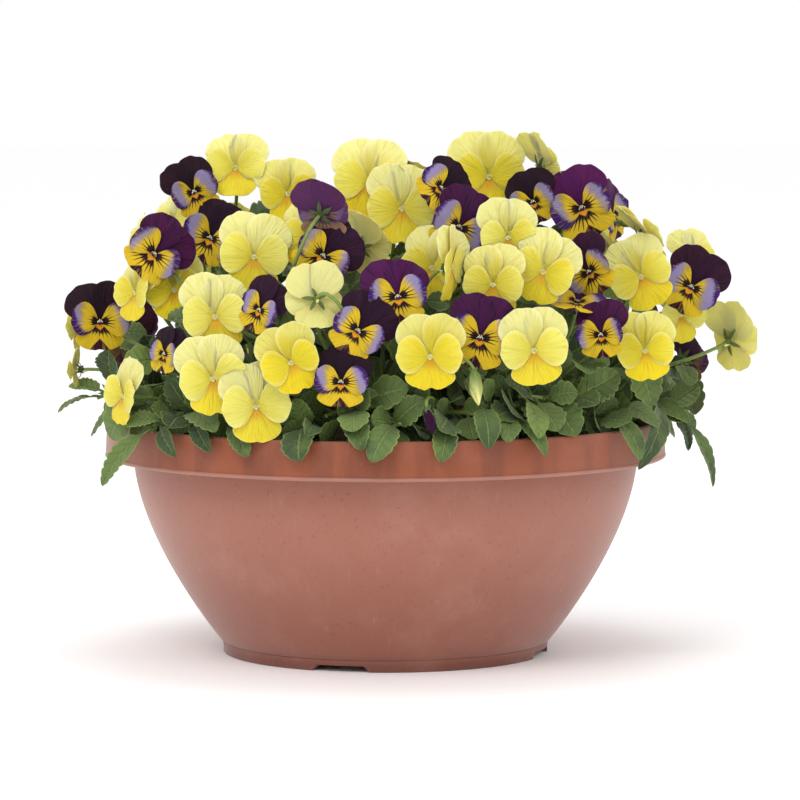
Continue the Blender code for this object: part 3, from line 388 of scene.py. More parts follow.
# One closed bloom: blades for the upper pair, the side petals and the lip, grown from a four-sided throat
def bloomMesh(kind, size, waves, margin=0.0):
    shapes = petalShapes[kind]
    grow = 1 + margin / size
    half = bladeThickness / 2 + margin
    hub = (hubShare * size + margin) * 1.1
    levels = (-bladeThickness - half, -bladeThickness / 2, half)
    verts, faces, rings = [], [], []
    for level in levels:
        rings.append([len(verts) + k for k in range(4)])
        for k in range(4):
            a = radians(45 + 90 * k)
            verts.append(Vector((hub * cos(a), hub * sin(a), level)))
    verts.append(lift(levels[0] - hubTip - margin))
    tip = len(verts) - 1

    # A blade on the throat's side from this corner to the next, fanned out from the corner
    def blade(band, corner, points):
        low, high = rings[band], rings[band + 1]
        after = (corner + 1) % 4
        top, bottom = [], []
        for point in points:
            spread = Vector((point.x * grow, point.y * grow, point.z))
            top.append(len(verts))
            verts.append(spread + lift(half))
            bottom.append(len(verts))
            verts.append(spread - lift(half))
        rim = [high[corner]] + top + [high[after]]
        under = [low[corner]] + bottom + [low[after]]
        for a, b, c, d in zip(rim, rim[1:], under, under[1:]):
            if a != high[corner]:
                faces.extend([(high[corner], a, b), (low[corner], d, c)])
            faces.extend([(a, c, b), (b, c, d)])

    def curve(name, wave):
        return [petalPoint(shapes[name], u, v, size, wave) for u, v in petalCorners[name]]

    def mirrored(points):
        return [Vector((-p.x, p.y, p.z)) for p in reversed(points)]

    other = otherWaves(waves)
    notch = petalPoint(shapes["upper"], *notchCorner, size, waves)
    notch.x = 0
    blade(0, 0, curve("upper", waves) + [notch] + mirrored(curve("upper", other)))
    blade(1, 3, curve("side", waves))
    blade(1, 1, mirrored(curve("side", other)))
    blade(1, 2, curve("lower", waves))
    for band, free in ((0, (1, 2, 3)), (1, (0,))):
        for k in free:
            a, b = rings[band][k], rings[band][(k + 1) % 4]
            c, d = rings[band + 1][(k + 1) % 4], rings[band + 1][k]
            faces += [(a, b, c), (a, c, d)]
    for k in range(4):
        faces.append((rings[0][(k + 1) % 4], rings[0][k], tip))
    a, b, c, d = rings[2]
    faces += [(a, b, c), (a, c, d)]
    return verts, faces


# Stems and leaves

def bezier(points, t):
    a, b, c, d = points
    s = 1 - t
    return a * s ** 3 + b * 3 * s * s * t + c * 3 * s * t * t + d * t ** 3


def tubeMesh(path, radii, sides):
    verts, faces = [], []
    side = None
    for i, point in enumerate(path):
        ahead = path[min(i + 1, len(path) - 1)] - path[max(i - 1, 0)]
        ahead.normalize()
        if side is None:
            side = ahead.orthogonal().normalized()
        side = (side - ahead * side.dot(ahead)).normalized()
        other = ahead.cross(side)
        for k in range(sides):
            a = 2 * pi * k / sides
            verts.append(point + (side * cos(a) + other * sin(a)) * radii[i])
    for i in range(len(path) - 1):
        for k in range(sides):
            n = (k + 1) % sides
            a, b = i * sides + k, i * sides + n
            faces += [(a, b, b + sides), (a, b + sides, a + sides)]
    last = (len(path) - 1) * sides
    for k in range(1, sides - 1):
        faces += [(0, k + 1, k), (last, last + k, last + k + 1)]
    return verts, faces


# Points along a flower stem, the last stretch being the green cup behind the bloom
def stemPath(curve, steps):
    end = bezier(curve, 1.0)
    straight = (end - bezier(curve, 0.97)).normalized()
    points = [bezier(curve, t / (steps - 1) * 0.92) for t in range(steps - 1)]
    return points + [end - straight * 3.2 * mm, end]


def stemRadii(steps, margin=0.0):
    thin = stemRadius * 0.85
    radii = [stemRadius + (thin - stemRadius) * t / (steps - 1) + margin for t in range(steps - 1)]
    return radii + [thin + margin, cupRadius + margin * 0.3]


def growthPath(stem, curve):
    if stem:
        return stemPath(curve, 3 if (curve[3] - curve[0]).length < 92 * mm else 4)
    return [bezier(curve, t / 3) for t in range(4)]


def growthMesh(stem, curve, margin=0.0):
    path = growthPath(stem, curve)
    radii = stemRadii(len(path) - 1, margin) if stem else [stemRadius + margin] * len(path)
    return tubeMesh(path, radii, 3)


# Point of a path at a share of its length
def alongPath(path, share):
    lengths = [(b - a).length for a, b in zip(path, path[1:])]
    left = share * sum(lengths)
    for a, b, length in zip(path, path[1:], lengths):
        if left <= length:
            return a + (b - a) * (left / length)
        left -= length
    return path[-1].copy()


# A leaf that runs in a bow from its base to its tip, its upper face turned towards the given way
def makeLeaf(base, tip, width, way, droop, fold, wave, phase):
    chord = tip - base
    c = chord.normalized()
    n = (way - c * way.dot(c)).normalized()
    y = c * cos(droop / 2) + n * sin(droop / 2)
    z = n * cos(droop / 2) - c * sin(droop / 2)
    frame = Matrix((y.cross(z), y, z)).transposed().to_4x4()
    frame.translation = base
    length = chord.length * (droop / 2) / sin(droop / 2)
    return dict(frame=frame, length=length, width=width, droop=droop, fold=fold, wave=wave, phase=phase)


# Point of a leaf's face in its own frame: y along the rib, x across, z up
def leafPoint(leaf, across, along):
    half = petioleHalf
    if along > petioleShare:
        s = (along - petioleShare) / (1 - petioleShare)
        power = log(0.5) / log(leafFullest)
        half = petioleHalf * (1 - s)
        if s < 1:
            half += leaf["width"] * sin(pi * s ** power) ** leafBlunt
    side = across * half
    bow = leaf["length"] / leaf["droop"]
    y = bow * sin(along * leaf["droop"])
    z = -bow * (1 - cos(along * leaf["droop"]))
    z += leaf["fold"] * abs(side) + leaf["wave"] * sin(along * 9 + leaf["phase"]) * side
    return Vector((side, y, z))


leafCorners = ((1, 0.0), (1, 0.45), (0.82, 0.66), (1.06, 0.82))
leafRib = 0.62


# One closed leaf on its own narrow stalk, with a notch in each edge between two of its rounded teeth
def leafMesh(leaf, margin=0.0):
    verts, faces = [], []
    half = bladeThickness / 2 + margin
    spread = 1 + margin / leaf["width"]

    def put(point):
        verts.append(leaf["frame"] @ Vector((point.x * spread, point.y, point.z + half)))
        verts.append(leaf["frame"] @ Vector((point.x * spread, point.y, point.z - half)))
        return len(verts) - 2

    def sheet(a, b, c):
        faces.extend([(a, b, c), (a + 1, c + 1, b + 1)])

    right = [put(leafPoint(leaf, u, v)) for u, v in leafCorners]
    tip = put(leafPoint(leaf, 0, 1 + margin / leaf["length"]))
    left = [put(leafPoint(leaf, -u, v)) for u, v in leafCorners]
    rib = put(leafPoint(leaf, 0, leafRib))
    sheet(right[0], rib, left[0])
    for side, flip in ((right, False), (left, True)):
        edge = side + [tip]
        for a, b in zip(edge, edge[1:]):
            sheet(a, rib, b) if flip else sheet(a, b, rib)
    loop = right + [tip] + left[::-1]
    for a, b in zip(loop, loop[1:] + loop[:1]):
        faces += [(a, a + 1, b), (b, a + 1, b + 1)]
    return verts, faces


# Keeping pieces clear of each other

class Crowd:
    def __init__(self):
        self.pieces = []

    @staticmethod
    def outline(mesh):
        verts, faces = mesh
        low = [min(v[i] for v in verts) for i in range(3)]
        high = [max(v[i] for v in verts) for i in range(3)]
        return low, high, BVHTree.FromPolygons([tuple(v) for v in verts], faces)

    def add(self, node, tag, mesh):
        self.pieces.append((node, tag, self.outline(mesh)))

    # How many pairs of facets cross, of the mesh and of the placed pieces that counts(node, tag) picks
    def meets(self, mesh, counts, every=False):
        low, high, tree = self.outline(mesh)
        pairs = 0
        for node, tag, (low2, high2, tree2) in self.pieces:
            if not counts(node, tag):
                continue
            if any(low[i] > high2[i] or high[i] < low2[i] for i in range(3)):
                continue
            pairs += len(tree.overlap(tree2))
            if pairs and not every:
                return pairs
        return pairs


def moved(mesh, matrix):
    verts, faces = mesh
    return [matrix @ v for v in verts], faces


# Bowl and soil

# Outer radius of the bowl's wall between its foot and its collar
def bowlRadius(z):
    share = (z - footHeight) / (shoulder - footHeight)
    return bodyRadius - (bodyRadius - footRadius - footLedge) * max(0.0, 1 - share) ** bodyBulge


# A closed turned solid; the profile runs from the axis on top, round the outside, to the axis below
def turnedMesh(profile, sides):
    verts, faces, rings = [], [], []
    for r, z in profile:
        count = 1 if r < 1e-6 else sides
        rings.append([len(verts) + k for k in range(count)])
        for k in range(count):
            a = 2 * pi * k / sides
            verts.append(Vector((r * cos(a), r * sin(a), z)))
    for one, two in zip(rings, rings[1:]):
        for k in range(sides):
            n = (k + 1) % sides
            if len(one) == 1:
                faces.append((one[0], two[k], two[n]))
            elif len(two) == 1:
                faces.append((one[k], two[0], one[n]))
            else:
                faces += [(one[k], two[k], two[n]), (one[k], two[n], one[n])]
    return verts, faces


wallHeights = (20 * mm, 48 * mm, 80 * mm)
floorInside = bowlRadius(floorTop) - wallThickness - 1 * mm


def potProfile():
    inner = [(bowlRadius(z) - wallThickness, z) for z in wallHeights]
    profile = [(0, floorTop), (floorInside, floorTop)] + inner
    profile += [(bodyRadius - wallThickness, shoulder + wallThickness)]
    profile += [(collarInside, shoulder + wallThickness)]
    profile += [(collarInside, rimHeight), (rimRadius - collarLean, rimHeight), (rimRadius, shoulder)]
    profile += [(bodyRadius, shoulder)]
    profile += [(bowlRadius(z), z) for z in wallHeights[::-1]]
    profile += [(footRadius + footLedge, footHeight), (footRadius, footHeight - 0.8 * mm), (footRadius, 0)]
    profile += [(footRadius - 5 * mm, 0), (footRadius - footRing, recessHeight), (0, recessHeight)]
    return profile


def soilProfile():
    edge = collarInside - clearGap
    top = [(0, soilLevel + soilCrown), (75 * mm, soilLevel + soilCrown * 0.6)]
    top += [(edge, soilLevel - 2 * mm), (edge, shoulder + wallThickness + clearGap)]
    body = [(bodyRadius - wallThickness - clearGap * 1.2, shoulder + wallThickness + clearGap)]
    body += [(bowlRadius(z) - wallThickness - clearGap * 1.2, z) for z in wallHeights[::-1]]
    return top + body + [(floorInside - clearGap * 2, floorTop + clearGap), (0, floorTop + clearGap)]


def soilHeight(x, y):
    r = hypot(x, y)
    return soilLevel + soilCrown * max(0, 1 - (r / (120 * mm)) ** 2)


# Laying out the plant

def layCrowns():
    crowns = []
    count = {"yellow": 0, "violet": 0}
    for radius, first, colours in crownRings:
        for k, kind in enumerate(colours):
            foot = roundAxis(first + 360 / len(colours) * k, radius, 0)
            foot.z = soilHeight(foot.x, foot.y)
            count[kind] += 1
            crowns.append(dict(kind=kind, foot=foot, node=f"{kind}_plant_{count[kind]:02d}", growths=[]))
    return crowns


def crownMesh(crown):
    return tubeMesh([crown["foot"] + lift(z) for z in (-crownDepth, crownRise)], [crownRadius] * 2, 6)


# Every bloom where it is first wished for
def wishedBlooms():
    wishes = []
    for kind, rows in frontBlooms.items():
        for across, down, half, turn, tilt, roll, ahead, group, *makeup in rows:
            line = sightLine(across, down)
            wishes.append(dict(place=meetMound(across, down) - line * ahead * mm, slide=-line, size=half * mm,
                               turn=turn, tilt=tilt, roll=roll, kind=kind, group=group, makeup=makeup))
    for number, (azimuth, height, tilt, mates, kind) in enumerate(backBunches):
        middle = facing(azimuth, tilt, 0)
        centre = onMound(azimuth, height * mm)
        out = middle.to_3x3() @ lift(1)
        for k in range(mates):
            draw = random.Random(seeds["bunch"] + len(wishes))
            first, far = bunchForms[mates]
            a = radians(first + 360 / mates * k + draw.uniform(-8, 8))
            aside = Vector((cos(a), sin(a), 0)) * backSize * bunchGap * far
            wishes.append(dict(place=centre + middle.to_3x3() @ aside - out * 5 * mm, slide=out,
                               size=backSize * draw.uniform(0.88, 1.08), turn=azimuth + draw.uniform(-20, 20),
                               tilt=tilt + draw.uniform(-6, 14), roll=draw.uniform(-25, 25), kind=kind,
                               group=f"bunch {number}", makeup=[]))
    return wishes


# Small turns and pulls towards the mate, the smallest first, and moves along the line of sight
swings = ((0, 0), (10, 0), (-10, 0), (0, 12), (0, -12), (16, 12), (-16, -12), (24, 0), (-24, 0))
pulls = (0, 0.05, 0.1, 0.15, 0.2, 0.26, 0.33, 0.4)
slides = [0] + [sign * 1.5 * mm * k for k in range(1, 32) for sign in (1, -1)]


# The best place for a bloom: clear of other nodes and, with a mate, crossing it as little as can be
def placeBloom(crowd, wish, node, mate, exact, wide):
    towards = mate["place"] - wish["place"] if mate else Vector()
    for swing in swings:
        turn = facing(wish["turn"] + swing[0], wish["tilt"], wish["roll"] + swing[1])
        for pull in pulls if mate else (0,):
            found = []
            for slide in slides:
                matrix = Matrix.Translation(wish["place"] + wish["slide"] * slide + towards * pull) @ turn
                if crowd.meets(moved(wide, matrix), lambda n, t: n != node):
                    continue
                if not mate:
                    return matrix
                pairs = crowd.meets(moved(exact, matrix), lambda n, t: n == node, True)
                if pairs:
                    found.append((pairs + abs(slide) / (1.5 * mm), len(found), matrix))
            if found:
                return min(found)[2]
    return None


# Moves each wished bloom until it is clear of other nodes and, in a group, grows into its mate
def layBlooms(crowd):
    blooms = []
    count = {"yellow": 0, "violet": 0}
    for number, wish in enumerate(wishedBlooms()):
        draw = random.Random(seeds["waves"] + number)
        waves = (anyPhase(draw), draw.uniform(0, 3.0))
        mates = [b for b in blooms if b["group"] == wish["group"]] if wish["group"] else []
        mate = min(mates, key=lambda b: (b["place"] - wish["place"]).length, default=None)
        if not mate:
            count[wish["kind"]] += 1
        node = mate["node"] if mate else f"{wish['kind']}_bloom_{count[wish['kind']]:02d}"
        exact = bloomMesh(wish["kind"], wish["size"], waves)
        wide = bloomMesh(wish["kind"], wish["size"], waves, bloomRoom)
        matrix = placeBloom(crowd, wish, node, mate, exact, wide)
        if not matrix:
            print(f"no room for bloom {number} of {wish['kind']}")
            continue
        crowd.add(node, f"bloom{number}", moved(exact, matrix))
        place = matrix.translation.copy()
        blooms.append(dict(wish, number=number, node=node, place=place, matrix=matrix, waves=waves))
    return blooms


# Shares the flower stems and shoots out to the crowns and gives each its own place on the crown's top
def planGrowths(crowns, blooms):
    growths = []
    for bloom in blooms:
        back = bloom["matrix"] @ lift(-1.5 * bladeThickness - hubTip - clearGap)
        look = bloom["matrix"].to_3x3() @ lift(1)
        number = bloom["number"]
        growths.append(dict(stem=True, end=back, look=look, bloom=bloom, tag=f"stem{number}", seed=number))
    for number, (across, down, leaves) in enumerate(frontShoots):
        end = meetRing(across, down, overRing if number in overShoots else shootRing)
        end.z = max(end.z, rimHeight + (3 if number in overShoots else 6) * mm)
        growths.append(dict(stem=False, end=end, tag=f"shoot{number}", seed=number, front=leaves))
    for number, azimuth in enumerate(backShoots):
        growths.append(dict(stem=False, end=roundAxis(azimuth, shootRing, rimHeight + 10 * mm),
                            tag=f"backShoot{number}", seed=100 + number, azimuth=azimuth))
    for growth in growths:
        end = growth["end"]
        share = 0.75 if growth["stem"] else 0.9
        spot = Vector((end.x * share, end.y * share, soilLevel))
        usable = [c for c in crowns if not growth["stem"] or c["kind"] == growth["bloom"]["kind"]]
        usable.sort(key=lambda c: (c["foot"] - spot).length + len(c["growths"]) * 1.5 * mm)
        usable[0]["growths"].append(growth)
        growth.update(crown=usable[0], node=usable[0]["node"], other=usable[1])
    for crown in crowns:
        foot = crown["foot"]
        order = sorted(crown["growths"], key=lambda g: atan2(g["end"].y - foot.y, g["end"].x - foot.x))
        outer = order if len(order) <= mostInRing else [g for i, g in enumerate(order) if i % 4 != 3]
        inner = [g for g in order if g not in outer]
        for ring, radius in zip((outer, inner), rootRings):
            lead = atan2(ring[0]["end"].y - foot.y, ring[0]["end"].x - foot.x) if ring else 0
            for i, growth in enumerate(ring):
                a = lead + 2 * pi * i / len(ring)
                growth["base"] = foot + Vector((radius * cos(a), radius * sin(a), crownRise * 0.4))
    return growths


# Tries to bend a growth clear: in all, from its own crown, and clear of its own plant too
growthTries = {"all": 140, "own": 90, "clear": 85}


# Bends each stem and shoot until it is clear of everything but its own crown's foot
def layGrowths(crowd, growths):
    grown = []
    for growth in growths:
        draw = random.Random(seeds["bend"] + growth["seed"] * 2 + growth["stem"])
        base, end = growth["base"], growth["end"]
        for attempt in range(growthTries["all"]):
            loose = 2 * mm + (attempt % growthTries["own"]) * 0.35 * mm
            if attempt == growthTries["own"]:
                if not growth["stem"]:
                    continue
                growth.update(crown=growth["other"], node=growth["other"]["node"])
                base = growth["other"]["foot"] + lift(crownRise * 0.4)
            if growth["stem"]:
                reach = min(32 * mm, 0.42 * (end - base).length)
                hook = Vector()
                if attempt % 3:
                    reach *= 0.6 if attempt % 3 == 1 else 0.3
                    hook.z = -5 * mm * (attempt % 3)
                second = end - growth["look"] * reach + hook
                second.z = max(second.z, base.z + 8 * mm)
                rise = max(second.z - base.z, 12 * mm) * 0.5
            else:
                out = Vector((end.x - base.x, end.y - base.y, 0)).normalized()
                second = end - out * 22 * mm + lift(5 * mm)
                rise = 20 * mm
            lean = Vector((end.x - base.x, end.y - base.y, 0)) * 0.08
            first = base + lean + lift(rise)
            if attempt:
                first += jolt(draw, 0.5) * loose
                second += jolt(draw, 0.7) * loose * 0.7
            curve = (base, first, second, end)
            if crowd.meets(growthMesh(growth["stem"], curve, clearGap), lambda n, t: n != growth["node"]):
                continue
            exact = growthMesh(growth["stem"], curve)
            mates = crowd.meets(exact, lambda n, t: n == growth["node"] and t != "crown")
            if mates and attempt < growthTries["clear"]:
                continue
            crowd.add(growth["node"], growth["tag"], exact)
            grown.append(dict(growth, curve=curve, path=growthPath(growth["stem"], curve)))
            break
        else:
            print(f"no way for {growth['tag']} of {growth['node']}")
    return grown


# Leaves on the shoots, and one part way up some flower stems
def layLeaves(crowd, grown):
    leaves = []
    missed = []

    def grow(owner, share, target, width, seed, droops=(20, 60)):
        draw = random.Random(seeds["leaf"] + seed)
        for attempt in range(leafTries):
            loose = attempt * 0.035
            start = max(0.2, min(share, 0.97) - loose * 0.05 * draw.random())
            base = alongPath(owner["path"], start)
            tip = base + (target - base) * (1 - 0.12 * loose * draw.random())
            tip += jolt(draw) * loose * 5 * mm
            out = Vector((tip.x, tip.y, 0)).normalized()
            way = out * 0.8 + lift(0.62)
            way += jolt(draw) * (0.12 + loose * 0.25)
            leaf = makeLeaf(base, tip, width * draw.uniform(0.94, 1.06) * (1 - loose * 0.15), way,
                            radians(draw.uniform(*droops)), draw.uniform(0.10, 0.28),
                            draw.uniform(0.04, 0.14), anyPhase(draw))
            if crowd.meets(leafMesh(leaf, bloomRoom), lambda n, t: t != owner["tag"]):
                continue
            leaf.update(node=owner["node"], seed=seed, owner=owner["tag"], share=start)
            crowd.add(owner["node"], f"leaf{seed}", leafMesh(leaf))
            leaves.append(leaf)
            return
        missed.append((owner["tag"], share))

    for owner in (g for g in grown if "front" in g):
        for k, (share, across, down, width) in enumerate(owner["front"]):
            tip = meetDepth(across, down, owner["end"].y - 4 * mm)
            hanging = tip.z < rimHeight + 4 * mm
            if hanging and hypot(tip.x, tip.y) < hangRing:
                tip = meetRing(across, down, hangRing)
            grow(owner, share, tip, width * frontLeafWiden * mm, owner["seed"] * 10 + k,
                 (50, 85) if hanging else (20, 60))
    for owner in (g for g in grown if "azimuth" in g):
        for k, (share, swing, reach, height, width) in enumerate(backLeaves[:2 + owner["seed"] % 2]):
            draw = random.Random(seeds["backLeaf"] + owner["seed"] * 10 + k)
            tip = roundAxis(owner["azimuth"] + swing * draw.uniform(0.8, 1.2), reach * mm,
                            (height + draw.uniform(-5, 5)) * mm)
            grow(owner, share, tip, width * mm, owner["seed"] * 10 + k)
    stems = [g for g in grown if g["stem"]]
    for number, owner in enumerate(stems):
        for kind, leaf in enumerate(innerLeaves):
            if number % leaf["every"] != leaf["first"] or kind and owner["end"].y > 0:
                continue
            draw = random.Random(seeds["innerLeaf"] + number + kind * 500)
            azimuth = degrees(atan2(owner["end"].x, -owner["end"].y)) + draw.uniform(-70, 70)
            heading = roundAxis(azimuth, 1, draw.uniform(*leaf["rise"])).normalized()
            base = alongPath(owner["path"], leaf["share"])
            grow(owner, leaf["share"], base + heading * innerLength, innerWidth, 3000 + number + kind * 500)
    print(f"{len(leaves)} leaves; left out for want of room: {missed}")
    return leaves


# Everything that grows, each piece clear of the other nodes
def layOut():
    crowd = Crowd()
    crowd.add("pot", "pot", turnedMesh(potProfile(), potSides))
    crowd.add("soil", "soil", turnedMesh(soilProfile(), potSides))
    crowns = layCrowns()
    for crown in crowns:
        crowd.add(crown["node"], "crown", crownMesh(crown))
    blooms = layBlooms(crowd)
    grown = layGrowths(crowd, planGrowths(crowns, blooms))
    leaves = layLeaves(crowd, grown)
    return crowd, crowns, blooms, grown, leaves


# Paints

# One step of maths between a socket and another one or a number; swapped puts the other first
def mathsStep(operation, swapped=False):
    def work(self, other=None):
        first, second = (other, self) if swapped else (self, other)
        values = {0: first} if second is None else {0: first, 1: second}
        return self.paint.node("ShaderNodeMath", {"operation": operation}, values)

    return work


# A socket that shader maths can be written with
class Flow:
    def __init__(self, paint, socket):
        self.paint = paint
        self.socket = socket

    __add__ = mathsStep("ADD")
    __radd__ = mathsStep("ADD", True)
    __sub__ = mathsStep("SUBTRACT")
    __rsub__ = mathsStep("SUBTRACT", True)
    __mul__ = mathsStep("MULTIPLY")
    __rmul__ = mathsStep("MULTIPLY", True)
    __truediv__ = mathsStep("DIVIDE")
    __pow__ = mathsStep("POWER")
    __abs__ = mathsStep("ABSOLUTE")
    __round__ = mathsStep("ROUND")
    sine = mathsStep("SINE")
    atLeast = mathsStep("MAXIMUM")
    angle = mathsStep("ARCTAN2")


# A screen colour, 0 to 255, as the light values that a shader takes
def tint(red, green, blue):
    values = []
    for part in (red, green, blue):
        c = part / 255
        values.append(c / 12.92 if c <= 0.04045 else ((c + 0.055) / 1.055) ** 2.4)
    return (*values, 1.0)


class Paint:
    def __init__(self, name, fixed):
        self.material = bpy.data.materials.new(name)
        self.material.use_nodes = True
        self.tree = self.material.node_tree
        self.shader = self.tree.nodes["Principled BSDF"]
        for socket, value in fixed.items():
            self.shader.inputs[socket].default_value = value

    def node(self, kind, settings=None, values=None, output=0):
        made = self.tree.nodes.new(kind)
        for title, setting in (settings or {}).items():
            setattr(made, title, setting)
        for socket, value in (values or {}).items():
            if isinstance(value, Flow):
                self.tree.links.new(value.socket, made.inputs[socket])
            else:
                made.inputs[socket].default_value = value
        return Flow(self, made.outputs[output])

    # The three numbers of a surface value that the piece's points carry
    def marks(self, title):
        return self.split(self.node("ShaderNodeAttribute", {"attribute_name": title}, output=1))

    def split(self, vector):
        parts = self.node("ShaderNodeSeparateXYZ", None, {0: vector})
        return [Flow(self, output) for output in parts.socket.node.outputs]

    def join(self, x, y, z):
        return self.node("ShaderNodeCombineXYZ", None, {0: x, 1: y, 2: z})

    def place(self):
        return self.node("ShaderNodeTexCoord", output=3)

    def noise(self, vector, scale, detail=2.0, roughness=0.5):
        values = {"Vector": vector, "Scale": scale, "Detail": detail, "Roughness": roughness}
        return self.node("ShaderNodeTexNoise", None, values)

    # 0 below low, 1 above high and smooth between; high may be the lower one
    def rise(self, value, low, high):
        values = {0: value, 1: low, 2: high, 3: 0.0, 4: 1.0}
        if not isinstance(low, Flow) and not isinstance(high, Flow) and low >= high:
            values = {0: value, 1: high, 2: low, 3: 1.0, 4: 0.0}
        return self.node("ShaderNodeMapRange", {"interpolation_type": "SMOOTHSTEP"}, values)

    def mix(self, share, first, second):
        return self.node("ShaderNodeMix", {"data_type": "RGBA"}, {0: share, 6: first, 7: second}, 2)

    # Lays coats over a colour, each given as how much of it and its colour
    def coats(self, colour, *coats):
        for share, over in coats:
            colour = self.mix(share, colour, over)
        return colour

    def feed(self, socket, value):
        self.tree.links.new(value.socket, self.shader.inputs[socket])

    def coloured(self, colour):
        self.feed("Base Color", colour)
        return self.material

    def bump(self, height, strength, distance):
        values = {"Height": height, "Strength": strength, "Distance": distance}
        self.feed("Normal", self.node("ShaderNodeBump", None, values))


# Petal paints: spot holds the place aside, the reach from the throat, and the nearness of the rim with
# faceMark added on the face and below 0 on the back; chance holds the bloom's makeup and a draw
petalPaint = {
    "roughness": 0.60,
    "glowReach": (1.0, 0.85, 0.45),
    "yellow": {
        # first the deep blooms, then the pale ones
        "upper": (tint(210, 189, 50), tint(230, 222, 140)),
        "side": (tint(226, 201, 38), tint(231, 220, 108)),
        "lower": (tint(238, 202, 18), tint(236, 208, 50)),
        # painted highlight along the petal rims, light through the thin edge
        "rim": tint(240, 238, 196),
        # painted shade of soft folds and creases
        "foldShade": tint(178, 162, 46),
        "throat": tint(218, 140, 40),
        "streak": tint(204, 136, 28),
        # the paler back of the petal, lightened further as painted light shining through it
        "back": tint(228, 221, 142),
    },
    "violet": {
        "dark": (tint(30, 10, 26), tint(72, 14, 72)),
        "darkVein": tint(20, 6, 18),
        "yellow": tint(216, 180, 36),
        "olive": tint(164, 142, 62),
        "lilac": tint(138, 128, 176),
        "outer": tint(54, 20, 96),
        "maroon": tint(48, 8, 30),
        "whisker": tint(26, 4, 20),
        "throat": tint(226, 150, 34),
        "back": tint(84, 48, 92),
    },
}


# Light comes through the thin petals; glow says how much
def petalBase(name, sheen, gloss, glow):
    paint = Paint(name, {"Roughness": petalPaint["roughness"], "Sheen Weight": sheen, "Sheen Roughness": 0.4,
                         "Specular IOR Level": gloss, "Subsurface Weight": glow, "Subsurface Scale": 0.002,
                         "Subsurface Radius": petalPaint["glowReach"]})
    side, reach, mark = paint.marks("spot")
    chances = paint.marks("chance")
    rim = abs(mark) - petalLook["faceMark"]
    fan = side / (reach + 0.06)
    grain = paint.noise(paint.join(fan * 11, reach * 1.6, chances[2] * 37), 1.0, 3.0)
    veins = paint.noise(paint.join(fan * 22, reach * 2.2, chances[2] * 37), 1.0, 2.0)
    paint.bump(veins + grain * 0.8, 0.7, 0.0009)
    return paint, (side, reach, rim, paint.rise(mark, 0.06, -0.06)), chances, fan, grain


def yellowPetal(name):
    look = petalPaint["yellow"]
    paint, spots, (pale, _, own), _, grain = petalBase(f"yellow {name} petal", 0.10, 0.25, 0.5)
    _, reach, rim, back = spots
    share = pale + (own - 0.5) * 0.3
    if name == "lower":
        streaks = paint.rise(grain, 0.54, 0.64) * paint.rise(reach, 0.80, 0.30)
        coats = [(paint.rise(reach + (grain - 0.5) * 0.34, 0.48, 0.12) * 0.75, look["throat"]),
                 (streaks * 0.45, look["streak"]),
                 # painted highlight along the rim
                 (paint.rise(rim, 0.93, 1.0) * 0.22, look["rim"])]
    else:
        share = share + paint.rise(reach, 0.30, 1.15) * 0.55 - 0.25
        coats = [(paint.rise(reach, 0.34, 0.12) * 0.5, look["side"][0]),
                 # painted highlight along the rim, broad and faint, then thin and strong
                 (paint.rise(rim, 0.70, 1.0) * 0.25, look["rim"]),
                 (paint.rise(rim, 0.97, 1.0) * 0.35, look["rim"])]
    colour = paint.mix(paint.rise(share, 0.0, 1.0), *look[name])
    # painted shade of the folds, laid in streaks by the grain
    foldShade = paint.rise(grain, 0.48, 0.70) * 0.26
    # the back's colour is partly painted light shining through the petal
    return paint.coloured(paint.coats(colour, (foldShade, look["foldShade"]), *coats, (back * 0.8, look["back"])))


# Dark lines that run out from the throat, each to its own length
def whiskers(paint, fan, reach, own, gap, thick, start, stop):
    lanes = fan / gap + (own - 0.5) * 0.6
    lane = round(lanes)
    off = abs(lanes - lane) * gap * reach
    end = stop * (0.62 + ((lane * 12.9 + own * 31).sine() * 0.5 + 0.5) * 0.38)
    left = 1 - (reach - start) / (end - start)
    width = left.atLeast(0.0) ** 0.7 * thick
    return paint.rise(off, width, width * 0.5) * paint.rise(left, 0.0, 0.08)


